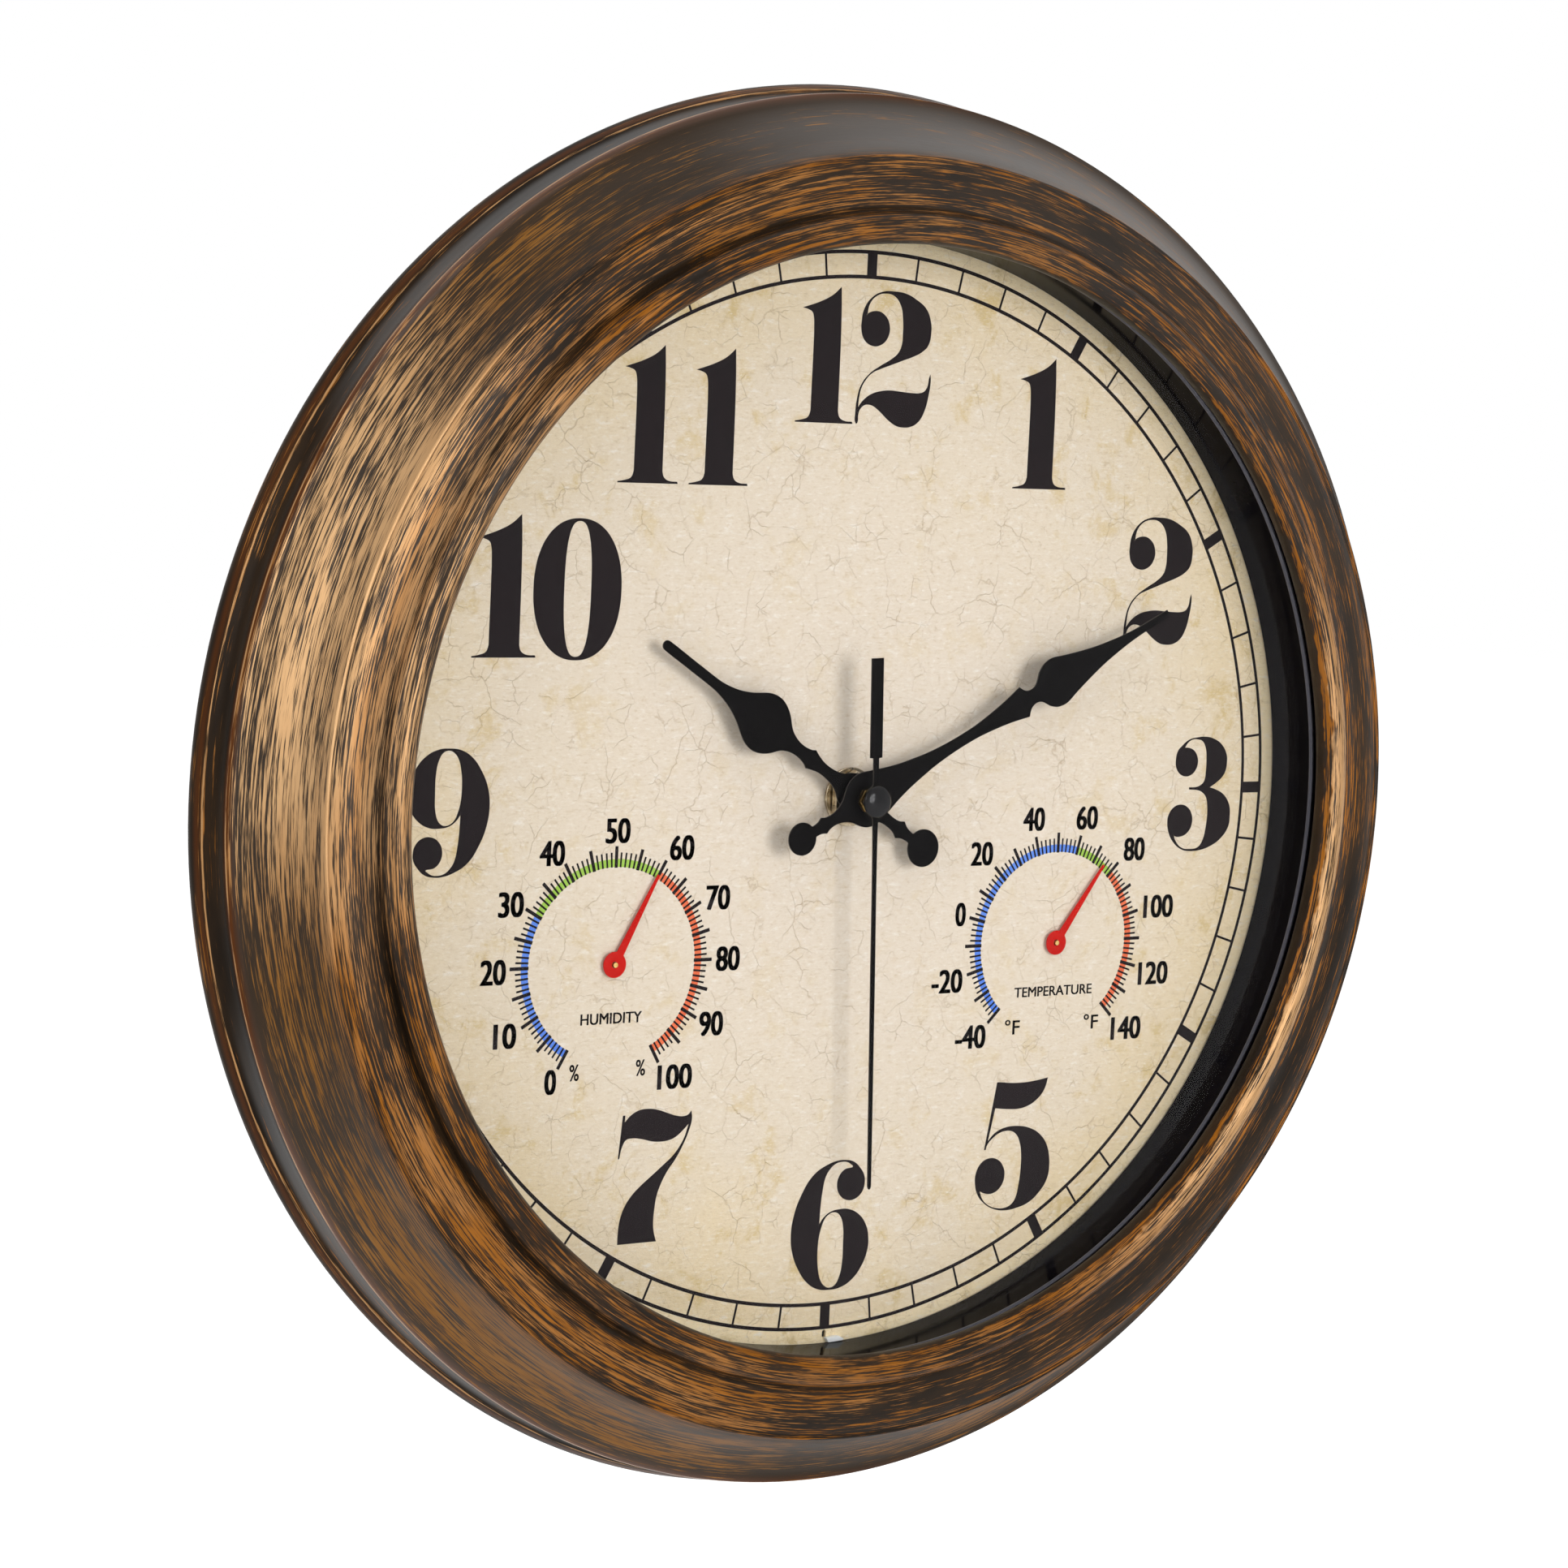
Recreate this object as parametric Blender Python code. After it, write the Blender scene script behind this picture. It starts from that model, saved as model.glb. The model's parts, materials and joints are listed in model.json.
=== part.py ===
# Outdoor wall clock with a humidity gauge and a thermometer, metres, +Z up.
# The front looks along -Y, 12 o'clock is +Z, and the wall is the plane Y = 0.
# Every depth below is measured forward from the wall.

import math

import bmesh
import bpy


def place(distance, direction):
    return distance * math.cos(direction), distance * math.sin(direction)


def pair_module(distance, teeth, other_teeth):
    return 2 * distance / (teeth + other_teeth)


# Gaps
fit_gap = 0.0003
run_gap = 0.0003
cut_overrun = 0.002
joint_overlap = 0.0002
weld_distance = 1e-7

# Facets round the turned pieces
frame_steps = 48
ring_steps = 36
disc_steps = 20
pin_steps = 12

# Case
cover_thickness = 0.0025
lens_radius = 0.1380
lens_thickness = 0.0020
lens_gasket_thickness = 0.0003
lens_clearance = 0.0021
dial_thickness = 0.0008
rubber_washer_thickness = 0.0008
moulding_width = 0.0266
lip_height = 0.0059
lip_reach = 0.0097
bead_radius = 0.0037
bore_gap = 0.0004

# Battery and the movement case round it
movement_wall = 0.0012
movement_front_wall = 0.0008
battery_radius = 0.0071
battery_body_length = 0.0495
battery_nub_radius = 0.0027
battery_nub_length = 0.0010
battery_side_gap = 0.00025
contact_thickness = 0.0004
contact_reach = 0.0011
contact_half_height = 0.0045
contact_depth = 0.0080
train_gap = 0.0012

contact_room = contact_reach + 2 * contact_thickness + 4 * fit_gap
bay_half_length = (battery_body_length + battery_nub_length + contact_room) / 2
movement_half_width = bay_half_length + movement_wall
movement_depth = 2 * (battery_radius + battery_side_gap) + movement_front_wall
contact_outer = bay_half_length - fit_gap
contact_inner = contact_outer - contact_thickness
battery_nub_end = contact_inner - fit_gap
battery_body_end = battery_nub_end - battery_nub_length
battery_rear_end = battery_body_end - battery_body_length

# Depths up to the dial
cover_front = cover_thickness
movement_back = cover_front + fit_gap
movement_front = movement_back + movement_depth
rubber_washer_back = movement_front + fit_gap
rubber_washer_front = rubber_washer_back + rubber_washer_thickness
dial_back = rubber_washer_front + fit_gap
dial_front = dial_back + dial_thickness
battery_depth = movement_front - movement_front_wall - battery_side_gap - battery_radius
train_back = movement_back + movement_wall
train_front = movement_front - movement_wall
case_split = movement_back + movement_depth / 2

# Gear train: tooth counts, centre distances and directions
pinion_teeth = 6
intermediate_teeth = 36
seconds_teeth = 30
third_teeth = 45
centre_teeth = 48
cannon_teeth = 10
motion_teeth = 30
motion_pinion_teeth = 8
hour_teeth = 32
step_distance = 0.00756
third_distance = 0.00891
motion_distance = 0.0100
intermediate_direction = math.radians(130)
rotor_direction = math.radians(90)
third_direction = math.radians(190)
motion_direction = math.radians(45)
half_turn = math.pi
tooth_height_share = 0.90
tooth_root_share = 1.15
tooth_tip_share = 0.22
tooth_foot_share = 0.55
wheel_thickness = 0.0008
step_wheel_thickness = 0.0006
level_gap = 0.0004
arbor_radius = 0.0004

step_module = pair_module(step_distance, pinion_teeth, intermediate_teeth)
seconds_module = pair_module(step_distance, pinion_teeth, seconds_teeth)
third_module = pair_module(third_distance, pinion_teeth, third_teeth)
centre_module = pair_module(third_distance, pinion_teeth, centre_teeth)
motion_module = pair_module(motion_distance, cannon_teeth, motion_teeth)
hour_module = pair_module(motion_distance, motion_pinion_teeth, hour_teeth)
intermediate_x, intermediate_z = place(step_distance, intermediate_direction)
rotor_x = intermediate_x + place(step_distance, rotor_direction)[0]
rotor_z = intermediate_z + place(step_distance, rotor_direction)[1]
third_x, third_z = place(third_distance, third_direction)
motion_x, motion_z = place(motion_distance, motion_direction)
third_tip = third_module * (third_teeth / 2 + tooth_height_share)
intermediate_back = train_back + level_gap
seconds_back = intermediate_back + step_wheel_thickness + fit_gap
third_back = seconds_back + 2 * wheel_thickness
centre_back = third_back + 2 * wheel_thickness + fit_gap
motion_back = centre_back + 2 * wheel_thickness + level_gap
hour_back = motion_back + 2 * wheel_thickness + level_gap
minute_tube_back = centre_back - level_gap

# Motor and electronics
coil_half_length = 0.0115
coil_radius = 0.0033
coil_flange_radius = 0.0040
coil_flange_thickness = 0.0010
coil_gap = 0.00015
core_half_height = 0.0014
core_thickness = 0.0010
stator_thickness = 0.0008
stator_arm_width = 0.0040
stator_bar_half_height = 0.0038
magnet_radius = 0.0030
magnet_reach = 0.0006
board_thickness = 0.0010
board_width = 0.0080
board_low = -0.0080
board_high = 0.0140
quartz_radius = 0.0015
quartz_length = 0.0070
quartz_clearance = 0.0020
chip_radius = 0.0026
chip_height = 0.0012
chip_edge_angle = math.radians(40)

board_right = bay_half_length - fit_gap
board_left = board_right - board_width
board_middle = (board_left + board_right) / 2
core_half_length = board_middle - quartz_radius - quartz_clearance
coil_z = rotor_z + stator_bar_half_height + coil_flange_radius + coil_gap
core_middle = train_back + coil_flange_radius + level_gap
core_back = core_middle - core_thickness / 2
stator_front = core_back - fit_gap
stator_back = stator_front - stator_thickness

# Movement case: the gear room above, the battery bay below it
train_low = third_z - third_tip - train_gap
train_high = coil_z + coil_flange_radius + train_gap
bay_high = train_low - movement_wall
bay_low = bay_high - 2 * (battery_radius + battery_side_gap)
movement_low = bay_low - movement_wall
movement_high = train_high + movement_wall
battery_z = (bay_low + bay_high) / 2

# Centre stack, from the dial forward
second_arbor_radius = 0.00045
minute_tube_wall = 0.00085
hour_tube_wall = 0.0007
bushing_wall = 0.0011
bushing_reach = 0.00045
bushing_flange_width = 0.0016
bushing_flange_thickness = 0.0012
washer_radius = 0.00695
washer_thickness = 0.00065
nut_width = 0.0112
nut_thickness = 0.0020
rubber_washer_radius = 0.0090
hand_thickness = 0.0004
hour_hand_gap = 0.0012
hour_tube_stand = 0.0003
minute_hand_gap = 0.0014
minute_nut_width = 0.0050
minute_nut_thickness = 0.0014
second_collet_radius = 0.0014
second_collet_length = 0.0014
cap_radius = 0.0038
cap_height = 0.0012
cap_rim = 0.0004

minute_bore_radius = second_arbor_radius + run_gap
minute_tube_radius = minute_bore_radius + minute_tube_wall
hour_bore_radius = minute_tube_radius + run_gap
hour_tube_radius = hour_bore_radius + hour_tube_wall
bushing_bore_radius = hour_tube_radius + run_gap
bushing_radius = bushing_bore_radius + bushing_wall
bushing_hole_radius = bushing_radius + fit_gap
washer_back = dial_front + fit_gap
washer_front = washer_back + washer_thickness
nut_back = washer_front + fit_gap
nut_front = nut_back + nut_thickness
bushing_front = nut_front + bushing_reach
hour_hand_back = bushing_front + hour_hand_gap
hour_tube_front = hour_hand_back + hand_thickness + hour_tube_stand
minute_hand_back = hour_tube_front + minute_hand_gap
minute_nut_back = minute_hand_back + hand_thickness + fit_gap
minute_tube_front = minute_nut_back + minute_nut_thickness
collet_back = minute_tube_front + fit_gap
second_hand_back = collet_back + second_collet_length
second_hand_front = second_hand_back + hand_thickness
cap_back = second_hand_front + fit_gap
cap_front = cap_back + cap_rim + cap_height

# Depths from the dial to the front
inner_ring_back = dial_front + fit_gap
inner_ring_front = cap_front + lens_clearance
lens_back = inner_ring_front + fit_gap
lens_front = lens_back + lens_thickness
lens_gasket_back = lens_front + fit_gap
ledge_depth = lens_gasket_back + lens_gasket_thickness + fit_gap
case_depth = ledge_depth + lip_height
bore_radius = lens_radius + bore_gap
case_radius = bore_radius + moulding_width
window_radius = lens_radius - lip_reach
bead_centre_radius = window_radius + bead_radius
bead_centre_depth = case_depth - bead_radius

# Frame moulding: places as shares of the moulding's width out from the bore, and of the case's depth
foot_share = 0.718
shoulder_shares = ((0.977, 0.201), (1.000, 0.232), (0.994, 0.265), (0.951, 0.317))
side_bead_shares = ((0.898, 0.491), (0.906, 0.510), (0.887, 0.526))
cove_foot_shares = (0.835, 0.533)
cove_top_shares = (0.361, 0.914)
band_foot_shares = (0.331, 0.906)
band_top_shares = (-0.079, 0.918)
side_cove_hollow = 0.0016
cove_hollow = 0.0026
band_crown = 0.0011
bead_start_angle = math.radians(-6)
bead_end_angle = math.radians(218)
bead_arc_steps = 7

# Hollow behind the moulding
bore_wall = 0.0026
rim_wall = 0.0030
hollow_roof_shares = ((0.205, 0.842), (0.722, 0.458), (0.868, 0.241))
back_gasket_thickness = 0.0005
boss_radius = 0.0040
boss_top_share = 0.860
screw_count = 6
screw_first_angle = math.tau * 4.5 / frame_steps
pilot_depth = 0.0110
screw_shank_radius = 0.0012
screw_head_radius = 0.0028
screw_head_thickness = 0.0010
screw_head_recess = 0.0002
screw_length = 0.0110
slot_width = 0.0008
slot_depth = 0.0005

boss_back = cover_front + fit_gap
back_gasket_back = cover_front + fit_gap
bore_rear = back_gasket_back + back_gasket_thickness + fit_gap
hollow_inner_radius = bore_radius + bore_wall
boss_circle_radius = hollow_inner_radius + boss_radius - 2 * fit_gap
rim_radius = bore_radius + foot_share * moulding_width
cover_radius = rim_radius - rim_wall - fit_gap
pilot_radius = screw_shank_radius + fit_gap
head_seat = screw_head_recess + screw_head_thickness + fit_gap

# Rear spacer, between the cover and the dial
spacer_wall = 0.0021
spacer_front = dial_back - fit_gap
spacer_outer_radius = bore_radius - fit_gap
spacer_inner_radius = spacer_outer_radius - spacer_wall

# Black ring between the dial and the lens, and the dial's locating slot below it
inner_ring_width = 0.0078
ring_wall = 0.0020
ring_flange = 0.0015
gasket_overlap = 0.0085
dial_slot_half_width = 0.0016
dial_slot_height = 0.0014
dial_slot_inset = 0.0012

ring_window_radius = lens_radius - inner_ring_width
dial_slot_radius = ring_window_radius - dial_slot_inset

# Hands: their lengths, their places along the length and half widths there as shares of it
hour_hand_length = 0.0670
minute_hand_length = 0.0985
second_hand_length = 0.0917
hour_hand_angle = math.radians(302.9)
minute_hand_angle = math.radians(63.44)
second_hand_angle = math.radians(177.95)
hour_ball_share = 0.067
hour_ball_place_share = -0.331
hour_hand_shares = (
    (-0.254, 0.019), (-0.207, 0.034), (-0.157, 0.021), (-0.075, 0.060), (0.000, 0.075),
    (0.075, 0.060), (0.104, 0.031), (0.149, 0.023), (0.209, 0.021), (0.261, 0.036),
    (0.299, 0.024), (0.328, 0.023), (0.388, 0.045), (0.433, 0.084), (0.478, 0.105),
    (0.507, 0.104), (0.567, 0.078), (0.627, 0.045), (0.687, 0.026), (0.746, 0.019),
    (0.991, 0.018), (1.000, 0.010),
)
minute_ball_share = 0.039
minute_ball_place_share = -0.199
minute_hand_shares = (
    (-0.152, 0.015), (-0.132, 0.021), (-0.102, 0.015), (-0.061, 0.029), (-0.041, 0.050),
    (0.000, 0.067), (0.041, 0.060), (0.061, 0.051), (0.102, 0.039), (0.152, 0.028),
    (0.254, 0.016), (0.355, 0.015), (0.457, 0.028), (0.510, 0.040), (0.528, 0.023),
    (0.543, 0.019), (0.569, 0.031), (0.589, 0.052), (0.624, 0.061), (0.660, 0.052),
    (0.711, 0.039), (0.761, 0.027), (0.863, 0.013), (1.000, 0.010),
)
second_hand_shares = (
    (-0.364, 0.0185), (-0.111, 0.0185), (-0.093, 0.0086), (-0.044, 0.0086), (-0.030, 0.026),
    (0.000, 0.033), (0.030, 0.026), (0.044, 0.0078), (0.990, 0.0055), (1.000, 0.002),
)

# Gauges
gauge_x = 0.0633
gauge_z = -0.03695
pointer_thickness = 0.00025
pointer_height = 0.0009
humidity_pointer_length = 0.0229
temperature_pointer_length = 0.0231
pointer_hub_radius = 0.0030
pointer_root_half_width = 0.0010
pointer_tip_half_width = 0.00035
humidity_angle = math.radians(28.4)
temperature_angle = math.radians(36.3)
gauge_arbor_radius = 0.0006
gauge_arbor_stand = 0.0004
gauge_cup_gap = 0.0032
gauge_cup_depth = 0.0110
gauge_cup_wall = 0.0012
gauge_vent_radius = 0.0022
gauge_vent_count = 4
gauge_vent_circle_share = 0.640
strip_thickness = 0.0004
strip_width = 0.0040
strip_pitch = 0.0024
humidity_strip_turns = 4.0
temperature_strip_turns = 5.0
strip_first_radius = 0.0024
strip_steps_per_turn = 15
strip_lift = 0.0020
collet_radius = 0.0018

strip_last_radius = strip_first_radius + strip_pitch * max(humidity_strip_turns, temperature_strip_turns)
gauge_cup_radius = strip_last_radius + strip_thickness / 2 + gauge_cup_gap + gauge_cup_wall
pointer_back = dial_front + pointer_height
gauge_arbor_front = pointer_back + pointer_thickness + gauge_arbor_stand
gauge_cup_front = dial_back - fit_gap
gauge_cup_back = gauge_cup_front - gauge_cup_depth
gauge_floor = gauge_cup_back + gauge_cup_wall
strip_back = gauge_floor + strip_lift

# Setting knob, reached through its own hole in the back cover
knob_radius = 0.0045
knob_hole_gap = 0.0008
knob_recess = 0.0006
knob_thickness = 0.0015
knob_arbor_radius = 0.0009
knob_ribs = 16
knob_rib_share = 0.92

knob_back = knob_recess
knob_front = knob_back + knob_thickness
knob_hole_radius = knob_radius + knob_hole_gap

# Battery lid, let into the cover
lid_step = 0.0013
lid_margin = 0.0028
lid_grip_half_length = 0.0060
lid_grip_half_width = 0.0012
lid_grip_depth = 0.0006

lid_hole_low = bay_low - fit_gap
lid_hole_high = bay_high + fit_gap
lid_hole_half_length = bay_half_length + fit_gap

# Keyhole and its pocket
keyhole_entry_radius = 0.0050
keyhole_slot_half_width = 0.0026
keyhole_inset = 0.0115
keyhole_slot_length = 0.0110
pocket_half_width = 0.0065
pocket_depth = 0.0070
pocket_wall = 0.0015

keyhole_top_z = spacer_inner_radius - keyhole_inset
keyhole_entry_z = keyhole_top_z - keyhole_slot_length
pocket_low = keyhole_entry_z - pocket_half_width
pocket_high = keyhole_top_z + pocket_half_width

# Air slots behind the gauges
vent_half_length = 0.0080
vent_half_width = 0.0010
vent_pitch = 0.0060
vent_count = 3

# Colours: red, green, blue in linear light, then roughness and metallic
finishes = {
    "bronze": ((0.060, 0.035, 0.025), 0.38, 0.60),
    "gloss_black": ((0.008, 0.007, 0.008), 0.10, 0.00),
    "clear_glass": ((0.900, 0.920, 0.920), 0.03, 0.00),
    "black_rubber": ((0.012, 0.012, 0.012), 0.75, 0.00),
    "parchment": ((0.720, 0.560, 0.330), 0.70, 0.00),
    "black_cover": ((0.018, 0.017, 0.017), 0.55, 0.00),
    "zinc": ((0.560, 0.560, 0.540), 0.35, 1.00),
    "hand_black": ((0.012, 0.011, 0.011), 0.50, 0.30),
    "pointer_red": ((0.550, 0.030, 0.020), 0.45, 0.00),
    "brass": ((0.620, 0.420, 0.140), 0.30, 1.00),
    "case_black": ((0.022, 0.022, 0.024), 0.50, 0.00),
    "white_gear": ((0.780, 0.770, 0.730), 0.45, 0.00),
    "board_green": ((0.020, 0.110, 0.045), 0.45, 0.00),
    "copper": ((0.650, 0.240, 0.110), 0.35, 1.00),
    "soft_iron": ((0.380, 0.380, 0.370), 0.40, 1.00),
    "battery_jacket": ((0.070, 0.075, 0.080), 0.35, 0.40),
}


def clear_scene():
    for old in list(bpy.data.objects):
        bpy.data.objects.remove(old)


def make_material(name):
    colour, roughness, metallic = finishes[name]
    material = bpy.data.materials.new(name)
    material.use_nodes = True
    shader = material.node_tree.nodes["Principled BSDF"]
    shader.inputs["Base Color"].default_value = (*colour, 1.0)
    shader.inputs["Roughness"].default_value = roughness
    shader.inputs["Metallic"].default_value = metallic
    if name == "clear_glass":
        shader.inputs["Transmission Weight"].default_value = 1.0
    material.diffuse_color = (*colour, 1.0)
    return material


def make_empty(name, x=0.0, z=0.0, turn=0.0):
    empty = bpy.data.objects.new(name, None)
    empty.location = (x, 0.0, z)
    empty.rotation_euler = (0.0, turn, 0.0)
    bpy.context.scene.collection.objects.link(empty)
    return empty


def make_object(name, shape, finish, parent=None):
    """The finished mesh as a named object with its material, faces outward, round faces smooth."""
    bmesh.ops.recalc_face_normals(shape, faces=shape.faces)
    mesh = bpy.data.meshes.new(name)
    shape.to_mesh(mesh)
    shape.free()
    mesh.shade_smooth()
    mesh.set_sharp_from_angle(angle=math.radians(35))
    made = bpy.data.objects.new(name, mesh)
    bpy.context.scene.collection.objects.link(made)
    if finish:
        made.data.materials.append(materials[finish])
    made.parent = parent
    return made


def as_tool(tool):
    tool.hide_render = True
    tool.display_type = "WIRE"
    return tool


def combine(target, tools, operation):
    for tool in tools:
        as_tool(tool)
        step = target.modifiers.new(tool.name, "BOOLEAN")
        step.operation = operation
        step.object = tool
    return target


def cut(target, *tools):
    return combine(target, tools, "DIFFERENCE")


def add(target, *tools):
    return combine(target, tools, "UNION")


def turned(name, profile, finish=None, steps=disc_steps, parent=None, closed=True):
    """A section of (radius, depth) points spun about the Y axis. An open one starts and ends on the axis."""
    shape = bmesh.new()
    corners = [shape.verts.new((radius, -depth, 0.0)) for radius, depth in profile]
    pairs = list(zip(corners, corners[1:]))
    if closed:
        pairs.append((corners[-1], corners[0]))
    edges = [shape.edges.new(pair) for pair in pairs]
    bmesh.ops.spin(
        shape,
        geom=corners + edges,
        cent=(0, 0, 0),
        axis=(0, 1, 0),
        angle=math.tau,
        steps=steps,
        use_merge=True,
    )
    bmesh.ops.remove_doubles(shape, verts=shape.verts, dist=weld_distance)
    return make_object(name, shape, finish, parent)


def disc(name, radius, back, front, finish=None, steps=disc_steps, parent=None):
    return prism(name, circle_points(0.0, 0.0, radius, steps), back, front, finish, parent)


def ring(name, inner, outer, back, front, finish=None, steps=ring_steps, parent=None):
    profile = ((inner, back), (outer, back), (outer, front), (inner, front))
    return turned(name, profile, finish, steps, parent)


def prism(name, outline, back, front, finish=None, parent=None):
    """A flat outline of (x, z) points, thickened from one depth to another."""
    shape = bmesh.new()
    corners = [shape.verts.new((x, -back, z)) for x, z in outline]
    face = shape.faces.new(corners)
    grown = bmesh.ops.extrude_face_region(shape, geom=[face])["geom"]
    moved = [item for item in grown if isinstance(item, bmesh.types.BMVert)]
    bmesh.ops.translate(shape, vec=(0.0, back - front, 0.0), verts=moved)
    return make_object(name, shape, finish, parent)


def block(name, low_x, high_x, low_z, high_z, back, front, finish=None, parent=None):
    outline = ((low_x, low_z), (high_x, low_z), (high_x, high_z), (low_x, high_z))
    return prism(name, outline, back, front, finish, parent)


def arc_between(start, end, bulge, steps):
    """Points inside an arc from start to end, bulging to the left of the way by the given height."""
    span = math.dist(start, end)
    radius = (span * span / 4 + bulge * bulge) / (2 * abs(bulge))
    side = math.copysign(1.0, bulge)
    across = ((start[1] - end[1]) / span * side, (end[0] - start[0]) / span * side)
    middle = ((start[0] + end[0]) / 2, (start[1] + end[1]) / 2)
    inset = radius - abs(bulge)
    centre = (middle[0] - across[0] * inset, middle[1] - across[1] * inset)
    half = math.asin(span / 2 / radius)
    facing = math.atan2(across[1], across[0])
    points = []
    for i in range(1, steps):
        angle = facing + side * half * (1 - 2 * i / steps)
        points.append((centre[0] + radius * math.cos(angle), centre[1] + radius * math.sin(angle)))
    return points


def circle_points(x, z, radius, steps, first=0.0, sweep=math.tau, last_too=False):
    count = steps + 1 if last_too else steps
    angles = [first + sweep * i / steps for i in range(count)]
    return [(x + radius * math.cos(a), z + radius * math.sin(a)) for a in angles]


# Case

def in_moulding(shares):
    return bore_radius + shares[0] * moulding_width, shares[1] * case_depth


def frame_outline():
    """The frame's section: up its outer side, over the front and back down the hollow inside."""
    foot = (rim_radius, 0.0)
    shoulder = [in_moulding(s) for s in shoulder_shares]
    side_bead = [in_moulding(s) for s in side_bead_shares]
    cove_foot = in_moulding(cove_foot_shares)
    cove_top = in_moulding(cove_top_shares)
    band_foot = in_moulding(band_foot_shares)
    band_top = in_moulding(band_top_shares)
    bead_sweep = bead_end_angle - bead_start_angle
    bead = circle_points(
        bead_centre_radius, bead_centre_depth, bead_radius, bead_arc_steps, bead_start_angle, bead_sweep, True
    )
    roof = [in_moulding(s) for s in hollow_roof_shares]
    rim_inside = rim_radius - rim_wall
    outline = [foot, *shoulder]
    outline += arc_between(shoulder[-1], side_bead[0], side_cove_hollow, 3)
    outline += [*side_bead, cove_foot]
    outline += arc_between(cove_foot, cove_top, cove_hollow, 4)
    outline += [cove_top, band_foot]
    outline += arc_between(band_foot, band_top, -band_crown, 3)
    outline += [band_top, *bead]
    outline += [(bead[-1][0], ledge_depth), (bore_radius, ledge_depth), (bore_radius, bore_rear)]
    outline += [(hollow_inner_radius, bore_rear), (hollow_inner_radius, roof[0][1]), *roof]
    outline += [(rim_inside, boss_back), (rim_inside, 0.0)]
    return outline


def screw_places():
    turns = [screw_first_angle + math.tau * i / screw_count for i in range(screw_count)]
    return [place(boss_circle_radius, turn) for turn in turns]


def make_frame():
    frame = turned("frame_ring", frame_outline(), "bronze", frame_steps)
    boss_top = boss_top_share * case_depth
    for i, (x, z) in enumerate(screw_places()):
        boss = disc(f"boss_{i}", boss_radius, boss_back, boss_top, steps=pin_steps)
        pilot = disc(f"pilot_{i}", pilot_radius, -cut_overrun, boss_back + pilot_depth, steps=pin_steps)
        boss.location = pilot.location = (x, 0.0, z)
        add(frame, boss)
        cut(frame, pilot)
    return frame


def make_inner_ring():
    flange_radius = lens_radius
    wall_radius = ring_window_radius + ring_wall
    profile = (
        (ring_window_radius, inner_ring_back),
        (flange_radius, inner_ring_back),
        (flange_radius, inner_ring_back + ring_flange),
        (wall_radius, inner_ring_back + ring_flange),
        (wall_radius, inner_ring_front - ring_flange),
        (flange_radius, inner_ring_front - ring_flange),
        (flange_radius, inner_ring_front),
        (ring_window_radius, inner_ring_front),
    )
    turned("inner_ring", profile, "gloss_black", frame_steps)


def make_lens():
    disc("lens", lens_radius, lens_back, lens_front, "clear_glass", frame_steps)
    gasket_front = lens_gasket_back + lens_gasket_thickness
    gasket_radius = lens_radius - gasket_overlap
    ring("lens_gasket", gasket_radius, lens_radius, lens_gasket_back, gasket_front, "black_rubber")


def make_dial():
    dial = disc("dial_plate", lens_radius, dial_back, dial_front, "parchment", frame_steps)
    low = dial_back - cut_overrun
    high = dial_front + cut_overrun
    centre_hole = disc("dial_centre_hole", bushing_hole_radius, low, high)
    slot = block(
        "dial_slot",
        -dial_slot_half_width,
        dial_slot_half_width,
        -dial_slot_radius,
        dial_slot_height - dial_slot_radius,
        low,
        high,
    )
    cut(dial, centre_hole, slot)
    for side, x in (("left", -gauge_x), ("right", gauge_x)):
        hole = disc(f"dial_{side}_hole", gauge_arbor_radius + fit_gap, low, high, steps=pin_steps)
        hole.location = (x, 0.0, gauge_z)
        cut(dial, hole)
    return dial


def make_rear_rings():
    spacer_back = cover_front + fit_gap
    ring("rear_spacer", spacer_inner_radius, spacer_outer_radius, spacer_back, spacer_front, "case_black")
    gasket_outer = hollow_inner_radius - 3 * fit_gap
    gasket_front = back_gasket_back + back_gasket_thickness
    ring("back_gasket", bore_radius, gasket_outer, back_gasket_back, gasket_front, "black_rubber")


def keyhole_outline():
    """Round entry below, narrow slot above it."""
    lean = math.asin(keyhole_slot_half_width / keyhole_entry_radius)
    start = math.radians(90) + lean
    entry = circle_points(0, keyhole_entry_z, keyhole_entry_radius, 14, start, math.tau - 2 * lean, True)
    top = circle_points(0, keyhole_top_z, keyhole_slot_half_width, 6, 0, math.pi, True)
    return entry + top


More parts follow.
